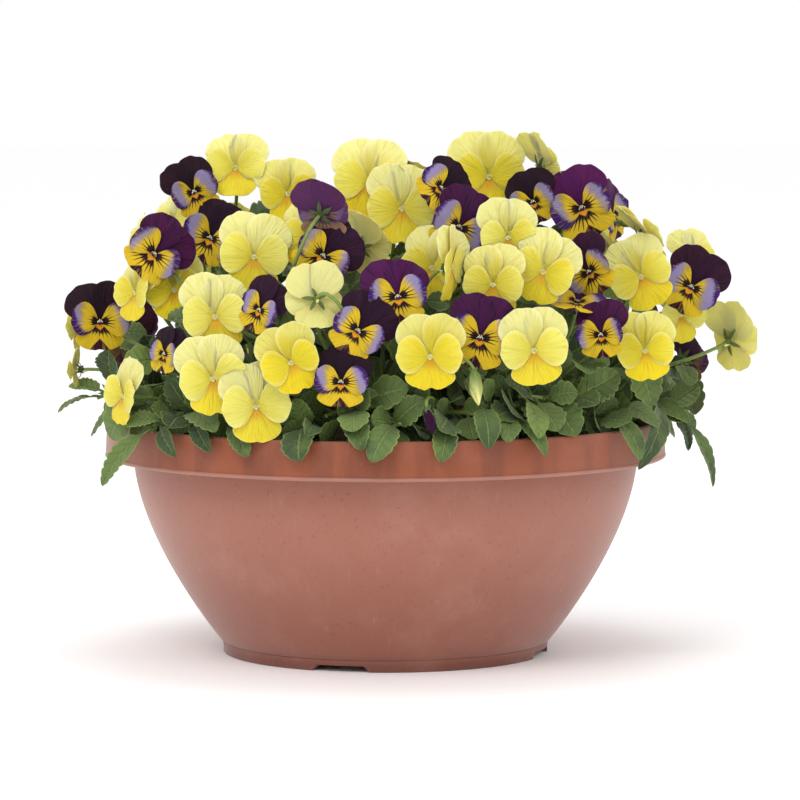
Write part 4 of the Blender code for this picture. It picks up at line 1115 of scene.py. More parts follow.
def violetPetal(name):
    look = petalPaint["violet"]
    paint, spots, (pale, lot, own), fan, grain = petalBase(f"violet {name} petal", 0.02, 0.12, 0.15)
    side, reach, rim, back = spots
    wobble = (grain - 0.5) * 0.5
    if name == "upper":
        colour = paint.mix(paint.rise(lot + wobble, 0.15, 1.0), *look["dark"])
        darker = paint.rise(grain, 0.46, 0.34) * 0.5
        return paint.coloured(paint.coats(colour, (darker, look["darkVein"]), (back * 0.55, look["back"])))
    if name == "side":
        edge = reach + wobble - pale * 0.26
        lean = fan * (own - 0.25) * 0.7
        crescent = reach + wobble * 0.6 + lean + lot * 0.08 + paint.rise(rim, 0.7, 1.0) * 0.10
        colour = paint.coats(look["yellow"], (paint.rise(edge, 0.22, 0.50), look["olive"]),
                             (paint.rise(edge + fan * 0.14, 0.26, 0.56), look["lilac"]),
                             (paint.rise(crescent, 0.74, 0.88), look["outer"]))
        near = paint.rise(abs(fan), 0.66, 0.40)
        lines = whiskers(paint, fan, reach, own, 0.24, 0.032, 0.12, 0.66 - abs(fan) * 0.35) * near
        blotch = paint.rise(reach + wobble * 0.3 + abs(fan) * 0.16, 0.34, 0.28) * near
    else:
        edge = reach + wobble * 0.5 + lot * 0.10
        wedge = paint.rise(reach - abs(side) * 1.15 + wobble * 0.10, 0.50, 0.55)
        colour = paint.coats(look["yellow"], (paint.rise(edge, 0.90, 1.02) * 0.6, look["outer"]),
                             (wedge, look["maroon"]))
        lines = whiskers(paint, fan, reach, own, 0.25, 0.038, 0.14, 0.74 - abs(fan) * 0.16)
        blotch = paint.rise(reach + wobble * 0.5 + abs(fan) * 0.06, 0.42, 0.33)
    colour = paint.coats(colour, (paint.rise(grain, 0.50, 0.66) * 0.42, look["olive"]),
                         (blotch * 0.94, look["maroon"]), (lines, look["whisker"]))
    if name == "lower":
        tongue = paint.rise(reach + wobble * 0.2 + abs(side) * 0.9, 0.30, 0.24)
        colour = paint.mix(tongue, colour, look["throat"])
    return paint.coloured(paint.mix(back * 0.7, colour, look["back"]))


# Leaves and stems: spot holds the place across, the share along and 1 on the upper face
leafPaint = {
    "dark": tint(44, 66, 28),
    "light": tint(90, 112, 48),
    "young": tint(120, 144, 60),
    "vein": tint(118, 142, 72),
    "rim": tint(134, 152, 82),
    "under": tint(108, 128, 72),
    "stem": tint(118, 140, 66),
    "stemFoot": tint(84, 92, 50),
    "stemPurple": tint(92, 62, 74),
    "roughness": 0.48,
}


def leafGreen():
    look = leafPaint
    paint = Paint("violet leaf blade", {"Specular IOR Level": 0.42, "Sheen Weight": 0.10})
    across, along, top = paint.marks("spot")
    first, second, _ = paint.marks("chance")
    grain = paint.noise(paint.place(), 260.0, 4.0, 0.6)
    patch = paint.noise(paint.place(), 55.0, 2.0)
    lanes = along * 5.5 - abs(across) * 1.3
    veins = paint.rise(abs(lanes - round(lanes)), 0.13, 0.03) * paint.rise(abs(across), 1.0, 0.4)
    midrib = paint.rise(abs(across), 0.11, 0.03)
    colour = paint.coats(look["dark"], (paint.rise(patch + (first - 0.5) * 0.5, 0.30, 0.75), look["light"]),
                         (paint.rise(second, 0.62, 1.0) * 0.6, look["young"]),
                         (paint.rise(grain, 0.45, 0.75) * 0.25, look["light"]),
                         (veins * 0.24, look["vein"]),
                         (midrib * 0.65, look["vein"]),
                         (paint.rise(abs(across), 0.86, 0.99) * 0.6, look["rim"]),
                         (paint.rise(top, 0.6, 0.4) * 0.75, look["under"]))
    paint.feed("Roughness", look["roughness"] + grain * 0.2 - veins * 0.05)
    paint.bump(grain * 0.7 - veins - midrib, 0.8, 0.0008)
    return paint.coloured(colour)


def stemGreen():
    look = leafPaint
    paint = Paint("violet stem", {"Specular IOR Level": 0.4, "Subsurface Weight": 0.1,
                                  "Subsurface Scale": 0.001})
    _, along, _ = paint.marks("spot")
    _, _, purple = paint.marks("chance")
    grain = paint.noise(paint.place(), 340.0, 3.0)
    paint.feed("Roughness", 0.42 + grain * 0.2)
    paint.bump(grain, 0.25, 0.0004)
    return paint.coloured(paint.coats(look["stemFoot"], (paint.rise(along, 0.0, 0.75), look["stem"]),
                                      (paint.rise(grain, 0.40, 0.75) * 0.30, look["vein"]),
                                      (purple * paint.rise(grain, 0.50, 0.65) * 0.35, look["stemPurple"])))


def budGreen():
    paint = Paint("green bud", {"Specular IOR Level": 0.35, "Roughness": 0.55})
    side, along, _ = paint.marks("spot")
    stripe = paint.rise(side + (paint.noise(paint.place(), 700.0) - 0.5) * 0.3, -0.1, 0.2)
    tip = petalPaint["yellow"]["upper"][1]
    return paint.coloured(paint.coats(leafPaint["light"], (paint.rise(along, 0.25, 0.75), tip),
                                      (stripe * 0.6, leafPaint["stem"])))


def plainPaint(name, colour, roughness):
    paint = Paint(name, {"Specular IOR Level": 0.35})
    grain = paint.noise(paint.place(), 900.0, 2.0)
    paint.feed("Roughness", roughness + grain * 0.1)
    return paint.coloured(paint.mix(grain * 0.3, colour, tint(255, 255, 250)))


# Moulded plastic in the colour of clay, with painted shade low down, at the foot and under the collar,
# painted leaf shadows on the collar and a painted highlight on its bead
clayPaint = {
    "body": tint(158, 100, 83),
    # painted shade low on the body, where it turns under, and under the collar
    "low": tint(142, 84, 66),
    # painted shade at the foot
    "foot": tint(112, 62, 48),
    "rim": tint(142, 72, 40),
    # painted shadow of the leaves on the collar
    "rimLeafShadow": tint(112, 54, 32),
    "pale": tint(184, 138, 124),
    "speck": tint(84, 46, 38),
    "roughness": 0.46,
}


def clayPlastic():
    look = clayPaint
    paint = Paint("terracotta plastic", {"Specular IOR Level": 0.45, "Sheen Weight": 0.32,
                                         "Sheen Roughness": 0.42})
    spot = paint.place()
    x, y, z = paint.split(spot)
    cloud = paint.noise(spot, 24.0, 4.0, 0.6)
    fine = paint.noise(spot, 420.0, 3.0, 0.7)
    turn = y.angle(x - potAxis.x)
    scuff = paint.noise(paint.join(turn * 60, z * 90, cloud), 1.0, 3.0, 0.6)
    collar = paint.rise(z, shoulder - 0.4 * mm, shoulder + 0.4 * mm)
    # painted shadows of the leaves, in streaks round the collar
    streak = paint.noise(paint.join(turn * 9, z * 6, cloud * 0.5), 1.0, 2.0)
    rim = paint.mix(paint.rise(streak, 0.46, 0.62) * 0.6, look["rim"], look["rimLeafShadow"])
    wear = 1 - collar * 0.6
    # painted highlight along the small bead at the collar's lower edge
    band = paint.rise(abs(z - (shoulder + 1.2 * mm)), 1.3 * mm, 0.6 * mm)
    # painted shade: darker towards the bottom and darkest at the foot
    colour = paint.coats(look["body"], (paint.rise(z, 80 * mm, 12 * mm), look["low"]),
                         (paint.rise(z, 9 * mm, 2 * mm), look["foot"]),
                         # painted shade under the overhanging collar
                         (paint.rise(z, shoulder - 26 * mm, shoulder) * 0.45, look["low"]),
                         (collar, rim),
                         (paint.rise(cloud, 0.45, 0.75) * 0.24 * wear, look["pale"]),
                         (paint.rise(scuff, 0.60, 0.78) * 0.2 * wear, look["pale"]),
                         (paint.rise(fine, 0.60, 0.72) * 0.38, look["speck"]),
                         # painted highlight on the bead
                         (band * 0.5, look["pale"]))
    paint.feed("Roughness", look["roughness"] + fine * 0.12 + cloud * 0.08)
    paint.bump(fine * 0.6 + cloud * 0.4, 0.22, 0.0005)
    return paint.coloured(colour)


soilPaint = {"dark": tint(34, 24, 18), "brown": tint(84, 62, 44), "pale": tint(124, 98, 70)}


def pottingMix():
    look = soilPaint
    paint = Paint("potting mix", {"Specular IOR Level": 0.25, "Roughness": 0.9})
    first, _, _ = paint.marks("chance")
    grain = paint.noise(paint.place(), 300.0, 5.0, 0.7)
    paint.bump(grain, 0.8, 0.001)
    return paint.coloured(paint.coats(look["dark"], (paint.rise(grain, 0.35, 0.70), look["brown"]),
                                      (paint.rise(first, 0.80, 1.0) * 0.6, look["pale"])))


# Fine shapes
def newObject(name, data):
    made = bpy.data.objects.new(name, data)
    bpy.context.scene.collection.objects.link(made)
    return made


# Gathers the points, faces, paints and surface values of one piece
class Mould:
    def __init__(self):
        self.points, self.faces, self.paints, self.spots, self.chances = [], [], [], [], []

    # mesh: points, faces and perhaps a mark for each point; chance: one value for them all
    def add(self, mesh, paint, chance=(0.5, 0.5, 0.5)):
        points, faces, *marks = mesh
        start = len(self.points)
        self.points += [tuple(p) for p in points]
        self.faces += [tuple(start + i for i in face) for face in faces]
        self.paints += [paint] * len(faces)
        self.spots += [tuple(mark) for mark in marks[0]] if marks else [(0.0, 0.0, 0.0)] * len(points)
        self.chances += [chance] * len(points)

    def make(self, name, paints, node, sharpest=50):
        mesh = bpy.data.meshes.new(name)
        # the few points that stand out of the box of the solids are held to it
        places = np.clip(np.array(self.points) + np.array(potAxis), *cadBox)
        mesh.from_pydata(places.tolist(), [], self.faces)
        for paint in paints:
            mesh.materials.append(paint)
        mesh.polygons.foreach_set("material_index", self.paints)
        mesh.polygons.foreach_set("use_smooth", [True] * len(self.faces))
        for title, values in (("spot", self.spots), ("chance", self.chances)):
            layer = mesh.attributes.new(title, "FLOAT_VECTOR", "POINT")
            layer.data.foreach_set("vector", [number for value in values for number in value])
        mesh.update()
        mesh.set_sharp_from_angle(angle=radians(sharpest))
        piece = newObject(name, mesh)
        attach(piece, "root")
        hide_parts(node)
        return piece


# A closed thin sheet round a grid of points; half is half its thickness, which thins out to its rim
def thickSheet(grid, half, rimShare=0.45):
    p = np.array(grid, float)
    rows, columns = p.shape[:2]
    normal = np.cross(np.gradient(p, axis=1), np.gradient(p, axis=0))
    normal /= np.maximum(np.linalg.norm(normal, axis=2, keepdims=True), 1e-12)
    thick = np.ones((rows, columns, 1)) * np.array(half, float).reshape(-1, 1, 1)
    thick[:, [0, -1]] *= rimShare
    thick[-1] *= rimShare
    points = np.concatenate([(p + normal * thick).reshape(-1, 3), (p - normal * thick).reshape(-1, 3)])
    under = rows * columns
    faces = []
    for i in range(rows - 1):
        for j in range(columns - 1):
            a = i * columns + j
            b = under + a
            faces += [(a, a + 1, a + columns + 1, a + columns), (b, b + columns, b + columns + 1, b + 1)]
    loop = list(range(columns))
    loop += [i * columns + columns - 1 for i in range(1, rows)]
    loop += [(rows - 1) * columns + j for j in range(columns - 2, -1, -1)]
    loop += [i * columns for i in range(rows - 2, 0, -1)]
    for a, b in zip(loop, loop[1:] + loop[:1]):
        faces.append((b, a, under + a, under + b))
    return points, faces


# Columns of a sheet from -1 to 1, which lie closer together at its rims
def columnPlaces(columns):
    return [sin(pi / 2 * (2 * j / (columns - 1) - 1)) for j in range(columns)]


# Petals
petalNames = ("upper", "side", "lower")
petalLook = {
    "usualSize": 17 * mm,  # half the width of a usual bloom
    "rows": 14,
    "columns": 11,
    "half": 0.16 * mm,
    "ruffle": 0.022,  # waves of the rim, in bloom half widths
    "ruffleWaves": 17,
    "scallop": 0.017,  # unevenness of the outline
    "scallopWaves": 13,
    "swell": 0.032,  # soft swells that run out from the throat
    "swellWaves": 5.5,
    "change": 0.07,  # how far one petal differs from the next in length and width
    "turn": 4.0,  # and in the way it points, in degrees
    "overlap": 0.05,  # how far one upper petal stands over the other
    "curl": 0.07,  # how far the tips bend forwards or back
    "stand": {"upper": (-0.14, 0.01), "side": (0.0, 0.15), "lower": (-0.08, 0.10)},  # slope of a whole petal
    "funnel": 1.6 * mm,  # depth of the throat
    "lift": {"upper": 0.0, "side": 0.28 * mm, "lower": -0.05 * mm},
    "faceMark": 0.1,  # keeps the marks of the face above 0 and those of the back below
    "start": -0.085,  # where its grid starts along a petal, inside the throat
    "span": 1.075,
    "crowding": 1.7,  # how much closer the rows lie at the tip
    # rounder outlines than the solids' facets have
    "finer": {
        "yellow": {"upper": dict(fullest=0.60), "side": dict(fullest=0.56, width=0.53, angle=7),
                   "lower": dict(fullest=0.57, width=0.68)},
        "violet": {"upper": dict(fullest=0.60), "side": dict(fullest=0.56, width=0.49, angle=9),
                   "lower": dict(fullest=0.56, width=0.76, notch=0.07)},
    },
}


def finePetal(bloom, name, mirrored, draw):
    look = petalLook
    size = bloom["size"]
    shape = dict(petalShapes[bloom["kind"]][name], **look["finer"][bloom["kind"]][name])
    shape["length"] *= 1 + draw.uniform(-1, 0.4) * look["change"]
    shape["width"] *= 1 + draw.uniform(-0.6, 1) * look["change"]
    shape["angle"] += draw.uniform(-1, 1) * look["turn"]
    waves = otherWaves(bloom["waves"]) if mirrored else bloom["waves"]
    over = 1 if (bloom["number"] % 3 == 0) == mirrored else -1
    phase, second, third = (anyPhase(draw) for _ in range(3))
    lean = draw.uniform(-0.08, 0.08)
    curl = draw.uniform(-1, 1) * look["curl"]
    stand = draw.uniform(*look["stand"][name])
    angle = radians(shape["angle"])
    out = Vector((cos(angle), sin(angle), 0))
    grid, spots = [], []
    for i in range(look["rows"]):
        t = i / (look["rows"] - 1)
        along = look["start"] + look["span"] * (1 - (1 - t) ** look["crowding"])
        row, marks = [], []
        for across in columnPlaces(look["columns"]):
            reach = hubShare + along * shape["length"]
            pinch = min(1, max(reach, 0.012) / hubShare)
            p = petalPoint(shape, (across + lean * along * (1 - across * across)) * pinch, along, size, waves)
            side = (-p.x * sin(angle) + p.y * cos(angle)) / size
            far = max(along, 0)
            rim = max(abs(across), min(1, max(0, (along - 0.55) / 0.44)) ** 2)
            p.z += size * look["ruffle"] * rim ** 3 * far * sin(side * look["ruffleWaves"] + phase)
            p.z += size * look["swell"] * far * sin(side / (reach + 0.15) * look["swellWaves"] + second)
            p.z += size * (curl * far ** 3 + stand * far)
            p += out * size * look["scallop"] * far ** 4 * sin(side * look["scallopWaves"] + third)
            if name == "upper":
                p.z += size * over * look["overlap"] * far
            p.z += look["lift"][name] - look["funnel"] * exp(-((reach / 0.11) ** 2))
            if mirrored:
                p.x = -p.x
            row.append(bloom["matrix"] @ p)
            marks.append((-side if mirrored else side, reach, rim + look["faceMark"]))
        grid.append(row)
        spots.append(marks)
    if mirrored:
        grid = [row[::-1] for row in grid]
        spots = [row[::-1] for row in spots]
    points, faces = thickSheet(grid, look["half"])
    face = sum(spots, [])
    return points, faces, [(side, reach, -rim) for side, reach, rim in face] + face


# Throat: the round head of the pistil, and the beard of short hairs on the side petals
throatLook = {
    "head": 0.60 * mm,
    "hairs": 8,
    "hairLength": 0.9 * mm,
    "hairRadius": 0.17 * mm,
    "spur": 5.2 * mm,
    "spurRadius": 0.95 * mm,
}


def ballMesh(centre, radius, stretch, sides=8, rings=5):
    profile = [(sin(pi * k / rings) * radius, cos(pi * k / rings) * radius * stretch)
               for k in range(rings + 1)]
    profile[-1] = (0, profile[-1][1])
    verts, faces = turnedMesh(profile, sides)
    return [v + centre for v in verts], faces


def addThroat(mould, bloom, draw, paints, chance):
    look = throatLook
    size = bloom["size"]
    matrix = bloom["matrix"]
    radius = look["head"] * size / petalLook["usualSize"]
    mould.add(moved(ballMesh(Vector((0, 0.02 * size, 0.1 * mm)), radius, 0.85), matrix), paints["head"])
    for sign in (-1, 1):
        for k in range(look["hairs"]):
            share = k / (look["hairs"] - 1)
            root = Vector((sign * (0.02 + 0.075 * share), 0.085 - 0.085 * share, 0)) * size
            root += Vector((draw.uniform(-1, 1), draw.uniform(-1, 1), 0)) * 0.2 * mm + lift(0.1 * mm)
            aim = Vector((-sign * 0.3, -0.85, 0.9)) + Vector([draw.uniform(-0.35, 0.35) for _ in range(3)])
            path = [root, root + aim.normalized() * look["hairLength"] * draw.uniform(0.7, 1.1)]
            mesh = tubeMesh(path, [look["hairRadius"], look["hairRadius"] * 0.35], 4)
            mould.add(moved(mesh, matrix), paints["beard"])
    back = -1.5 * bladeThickness - hubTip
    places = ((-0.02, -bladeThickness), (-0.07, back), (-0.12, back - look["spur"] * 0.5),
              (-0.10, back - look["spur"]))
    curve = [Vector((0, y * size, z)) for y, z in places]
    path = [bezier(curve, t / 7) for t in range(8)]
    radii = [look["spurRadius"] * (1.2 - 0.5 * t / 7) for t in range(7)] + [look["spurRadius"] * 0.35]
    mould.add((*moved(tubeMesh(path, radii, 8), matrix), [(0, 0.2, -0.3)] * 64), paints["upper"], chance)


def makeBlooms(blooms, paints):
    nodes = {}
    for bloom in blooms:
        nodes.setdefault(bloom["node"], []).append(bloom)
    order = {name: k for k, name in enumerate(petalNames)}
    for node, members in nodes.items():
        kind = members[0]["kind"]
        mould = Mould()
        for bloom in members:
            draw = random.Random(seeds["petals"] + bloom["number"])
            makeup = [draw.random(), draw.random()]
            makeup[:len(bloom["makeup"])] = bloom["makeup"]
            for name in petalNames:
                for mirrored in (False, True) if name != "lower" else (False,):
                    mould.add(finePetal(bloom, name, mirrored, draw), order[name], (*makeup, draw.random()))
            addThroat(mould, bloom, draw, dict(order, head=3, beard=4), (*makeup, 0.5))
        used = [paints[kind + name] for name in petalNames] + [paints["head"], paints["beard"]]
        mould.make(node + "_petals", used, node)
    print(f"{len(nodes)} bloom pieces made")


# Leaves; where there are two values, the second is for the small ones
leafLook = {
    "stalkRows": (5, 3),
    "toothRows": 4,
    "columns": (9, 5),
    "half": 0.20 * mm,
    "petioleHalf": 0.55 * mm,
    "teeth": ((6, 7), (3, 4)),  # on each side
    "toothDepth": (0.11, 0.20),
    "toothGrowth": 1.2,  # the teeth get shorter towards the tip
    "fullest": (0.44, 0.58),  # where along the blade it is widest
    "blunt": (0.50, 0.64),
    "wider": 1.12,  # against the solids
    "quilt": (0.40 * mm, 0.26 * mm),
    # how far a leaf of the front may be turned about its own line to show its face, in degrees
    "shownAt": 48,
    "mostTurn": 62,
    "edgeOn": 138,
}


def fineLeaf(leaf, draw, small=False):
    look = leafLook
    size = 1 if small else 0
    teeth = draw.choice(look["teeth"][size])
    depth = draw.uniform(*look["toothDepth"])
    shifts = [draw.choice((0, 1, 2)) / look["toothRows"] for _ in range(2)]
    power = log(0.5) / log(draw.uniform(*look["fullest"]))
    blunt = draw.uniform(*look["blunt"])
    steps = teeth * look["toothRows"]
    growth = look["toothGrowth"]
    stalk = look["stalkRows"][size]
    places = [petioleShare * k / stalk for k in range(stalk)]
    places += [petioleShare + (1 - petioleShare) * (k / steps) ** (1 / growth) for k in range(steps)]
    places += [0.988, 0.998]
    bow = leaf["length"] / leaf["droop"]
    grid, spots, halves = [], [], []
    for along in places:
        s = max(0, (along - petioleShare) / (1 - petioleShare))
        blade = leaf["width"] * look["wider"] * sin(pi * s ** power) ** blunt
        bend = along * leaf["droop"]
        row, marks = [], []
        for across in columnPlaces(look["columns"][size]):
            lobe = abs(sin(pi * (teeth * s ** growth + shifts[across > 0]))) ** 0.6
            room = 1 - depth * (1 - lobe) * min(1, s * 5)
            side = across * (petioleHalf * (1 - s) + blade * room)
            z = leaf["fold"] * abs(side) + leaf["wave"] * sin(along * 9 + leaf["phase"]) * side
            lane = 5.5 * s - 1.3 * abs(across)
            relief = sin(2 * pi * lane) * (1 - across ** 2) - 1.3 * exp(-((across / 0.18) ** 2))
            z += look["quilt"][size] * relief * min(1, s * 3)
            row.append(leaf["frame"] @ Vector((side, bow * sin(bend), z - bow * (1 - cos(bend)))))
            marks.append((across, s, 1.0))
        grid.append(row)
        spots.append(marks)
        halves.append(look["half"] + (look["petioleHalf"] - look["half"]) * max(0, 1 - along / 0.34))
    points, faces = thickSheet(grid, halves)
    top = sum(spots, [])
    return points, faces, top + [(a, s, 0.0) for a, s, _ in top]


# Turns the leaves of the front that show only their edge, where there is room
def turnLeaves(crowd, leaves):
    look = leafLook
    count = 0
    for leaf in leaves:
        frame = leaf["frame"]
        base = frame.translation.copy()
        half = leaf["droop"] / 2
        line = frame.to_3x3() @ Vector((0, cos(half), -sin(half)))
        face = frame.to_3x3() @ Vector((0, sin(half), cos(half)))
        view = eye - base
        angle = degrees(atan2(face.cross(view).dot(line), face.dot(view)))
        if base.y > frontDepth or not look["shownAt"] < abs(angle) < look["edgeOn"]:
            continue
        own = (leaf.get("owner"), f"leaf{leaf['seed']}")
        most = min(abs(angle) - look["shownAt"], look["mostTurn"])
        for share in (1, 0.85, 0.7, 0.55, 0.4, 0.25):
            swing = Matrix.Rotation(radians(copysign(most * share, angle)), 4, line)
            trial = dict(leaf, frame=Matrix.Translation(base) @ swing @ Matrix.Translation(-base) @ frame)
            mesh = leafMesh(trial)
            if inBox(mesh[0]) and not crowd.meets(mesh, lambda n, t: t not in own):
                leaf["frame"] = trial["frame"]
                crowd.pieces = [piece for piece in crowd.pieces if piece[1] != own[1]]
                crowd.add(leaf["node"], own[1], mesh)
                count += 1
                break
    print(f"{count} leaves turned to show their faces")


# A narrow pointed blade, for sepals, stipules and the green cups of buds
def smallBlade(base, tip, way, width, bend, rows=6, columns=3, half=0.18 * mm):
    chord = tip - base
    side = chord.cross(way).normalized()
    up = side.cross(chord).normalized()
    grid, marks = [], []
    for i in range(rows):
        t = i / (rows - 1)
        reach = width * (0.35 + 0.65 * sin(pi * min(1, t * 1.5 + 0.12) / 2)) * (1 - t ** 2.6 * 0.95)
        row = []
        for j in range(columns):
            u = 2 * j / (columns - 1) - 1
            rise = bend * sin(pi * t) + abs(u) * width * 0.2
            row.append(base + chord * t + up * rise + side * u * reach)
            marks.append((u, t, 1.0))
        grid.append(row)
    points, faces = thickSheet(grid, half)
    return points, faces, marks + marks


# Stems, with the green cup behind each bloom
stemLook = {
    "steps": 18,
    "sides": 8,
    "neck": 0.92 * mm,
    "foot": 1.35 * mm,
    "cup": 1.9 * mm,
    "cupPlaces": (3.0, 1.8, 0.7, 0),  # mm before its end
    "cupShares": (0.85, 1, 0.8),  # of its radius, after the neck
    "sepals": 5,
    "sepalLength": 8.2 * mm,
    "sepalWidth": 1.5 * mm,
    "stipuleLength": 8 * mm,
    "stipuleWidth": 1.3 * mm,
}


def smoothPath(growth):
    steps = stemLook["steps"]
    return [bezier(growth["curve"], t / (steps - 1)) for t in range(steps)]


def addSepals(mould, end, look, size, draw, chance, spread=1.0):
    right = look.orthogonal().normalized()
    up = look.cross(right)
    share = size / petalLook["usualSize"]
    for k in range(stemLook["sepals"]):
        a = 2 * pi * (k + 0.25 + draw.uniform(-0.1, 0.1)) / stemLook["sepals"]
        out = right * cos(a) + up * sin(a)
        base = end - look * 1.3 * mm + out * 1.2 * mm
        tip = end + look * 0.6 * mm * spread
        tip += out * stemLook["sepalLength"] * share * draw.uniform(0.85, 1.1) * spread
        tip += look * stemLook["sepalLength"] * (1 - spread) * 0.9
        mould.add(smallBlade(base, tip, look, stemLook["sepalWidth"] * share, -0.5 * mm), 0, chance)
        tail = base - look * 1.6 * mm + out * 0.9 * mm
        mould.add(smallBlade(base + look * 0.4 * mm, tail, out, 0.9 * mm, 0.1 * mm, 4), 0, chance)


def addStem(mould, growth, draw):
    path = smoothPath(growth)
    last = len(path) - 1
    neck = stemLook["neck"] if growth["stem"] else 1.05 * mm
    radii = [stemLook["foot"] + (neck - stemLook["foot"]) * (i / last) ** 0.6 for i in range(last + 1)]
    marks = [(0.0, i / last, 1.0) for i in range(last + 1) for _ in range(stemLook["sides"])]
    chance = (draw.random(), draw.random(), 1.0 if growth["crown"]["kind"] == "violet" else 0.0)
    mould.add((*tubeMesh(path, radii, stemLook["sides"]), marks), 1, chance)
    if growth["stem"]:
        end, look = growth["end"], growth["look"]
        cup = [end - look * back * mm for back in stemLook["cupPlaces"]]
        mesh = tubeMesh(cup, [neck] + [stemLook["cup"] * share for share in stemLook["cupShares"]], 8)
        mould.add((*mesh, [(0.5, 0.5, 1.0)] * 32), 0, chance)
        addSepals(mould, end, look, growth["bloom"]["size"], draw, chance)


# Short side shoots all round, on which the leaves over the rim grow
runnerLook = {
    "step": 8,  # degrees from one to the next
    "ring": 139 * mm,
    "nearer": 9,  # mm that an end may lie inside the ring
    "height": (3, 18),  # mm over the rim
    "tries": 16,
}


def layRunners(crowd, crowns):
    look = runnerLook
    runners = []
    for number in range(360 // look["step"]):
        draw = random.Random(seeds["runner"] + number)
        for attempt in range(look["tries"]):
            azimuth = (number + draw.uniform(-0.45, 0.45)) * look["step"]
            reach = look["ring"] - draw.uniform(0, look["nearer"]) * mm
            end = roundAxis(azimuth, reach, rimHeight + draw.uniform(*look["height"]) * mm)
            crown = min(crowns, key=lambda c: (c["foot"] - end).length)
            foot = crown["foot"]
            out = Vector((end.x - foot.x, end.y - foot.y, 0)).normalized()
            loose = [jolt(draw) * attempt * 0.7 * mm for _ in range(2)]
            base = foot + out * 4 * mm + lift(crownRise * 0.5)
            curve = (base, base + lift(12 * mm) + loose[0],
                     end - out * 18 * mm + lift(4 * mm) + loose[1], end)
            mesh = growthMesh(False, curve)
            if crowd.meets(mesh, lambda n, t: n != crown["node"] or t.startswith("leaf")):
                continue
            runner = dict(stem=False, curve=curve, end=end, crown=crown, node=crown["node"],
                          tag=f"runner{number}", seed=300 + number)
            crowd.add(runner["node"], runner["tag"], mesh)
            runners.append(runner)
            break
    print(f"{len(runners)} side shoots")
    return runners


# More leaves than the solids have, each grown from the nearest stem or shoot: heights of their tips in mm,
# share of the mound's reach there and degrees from one to the next
fillLook = {
    "levels": (
        (122, 0.99, 6), (128, 0.97, 5), (133, 0.92, 5), (138, 0.86, 5), (144, 0.93, 5), (151, 0.84, 6),
        (158, 0.90, 6), (166, 0.78, 7), (176, 0.84, 7), (188, 0.72, 7), (201, 0.80, 8), (214, 0.66, 9),
        (228, 0.74, 9), (243, 0.62, 12), (150, 0.58, 12), (172, 0.52, 13), (196, 0.46, 15), (220, 0.40, 20),
        (132, 0.78, 7), (207, 0.90, 9), (236, 0.86, 10), (254, 0.70, 18), (115, 0.99, 8), (126, 0.90, 6),
        (141, 0.97, 6), (150, 0.40, 15), (162, 0.30, 20), (180, 0.20, 30), (205, 0.26, 24), (176, 0.40, 15),
        (140, 0.66, 9),
    ),
    "sway": 3.5,  # mm that a tip may lie higher or lower
    "length": (14 * mm, 31 * mm),
    "misfit": 7 * mm,  # most that the length may be off
    "width": (0.27, 0.37),
    "lowest": 12 * mm,  # above the rim; the leaves under it hang over the rim
    "tries": 10,
    "boxRoom": 0.8 * mm,
}


def inBox(points):
    room = fillLook["boxRoom"]
    low, high = (Vector(corner) - potAxis for corner in cadBox)
    return all(low[i] + room < p[i] < high[i] - room for p in points for i in range(3))


def fillLeaves(crowd, grown):
    look = fillLook
    owners, places = [], []
    for growth in grown:
        path = smoothPath(growth)
        for k in range(2, 18):
            owners.append(growth)
            places.append(alongPath(path, k / 18.5))
    spots = np.array([tuple(place) for place in places])
    leaves = []
    for level, (height, share, step) in enumerate(look["levels"]):
        for number in range(360 // step):
            seed = seeds["filler"] + level * 100 + number
            draw = random.Random(seed)
            for _ in range(look["tries"]):
                azimuth = (number + draw.uniform(0, 1)) * step
                around = onMound(azimuth, (height + draw.uniform(-look["sway"], look["sway"])) * mm)
                tip = Vector((around.x * share, around.y * share, around.z))
                tip *= 1 - draw.uniform(0, 0.05) * (level > 0)
                if hypot(tip.x, tip.y) > 0.98 * rimRadius and tip.z < rimHeight + 3 * mm:
                    tip *= max(1, hangRing / hypot(tip.x, tip.y)) if draw.random() < 0.7 else 1
                wanted = draw.uniform(*look["length"])
                gaps = np.linalg.norm(spots - np.array(tip), axis=1)
                best = int(np.argmin(np.abs(gaps - wanted) + 0.2 * np.maximum(spots[:, 2] - tip.z, 0)))
                length = float(gaps[best])
                if abs(length - wanted) > look["misfit"]:
                    continue
                base = places[best]
                out = Vector((tip.x, tip.y, 0)).normalized()
                low = tip.z < rimHeight + look["lowest"]
                way = out * draw.uniform(0.8, 1.2) if low else out * draw.uniform(0.4, 1.1)
                way += lift(0.4 if low else 0.7)
                way += jolt(draw) * 0.3
                if tip.y < frontDepth:
                    way.y -= 1.1 * abs(out.x)
                leaf = makeLeaf(base, tip, length * draw.uniform(*look["width"]), way,
                                radians(draw.uniform(15, 65)), draw.uniform(0.02, 0.22),
                                draw.uniform(0.04, 0.16), anyPhase(draw))
                mesh = leafMesh(leaf)
                tag = owners[best]["tag"]
                if not inBox(mesh[0]) or crowd.meets(mesh, lambda n, t: t != tag):
                    continue
                leaf.update(node=owners[best]["node"], seed=seed, small=True)
                crowd.add(leaf["node"], "filler", mesh)
                leaves.append(leaf)
                break
    print(f"{len(leaves)} small leaves between the others")
    return leaves


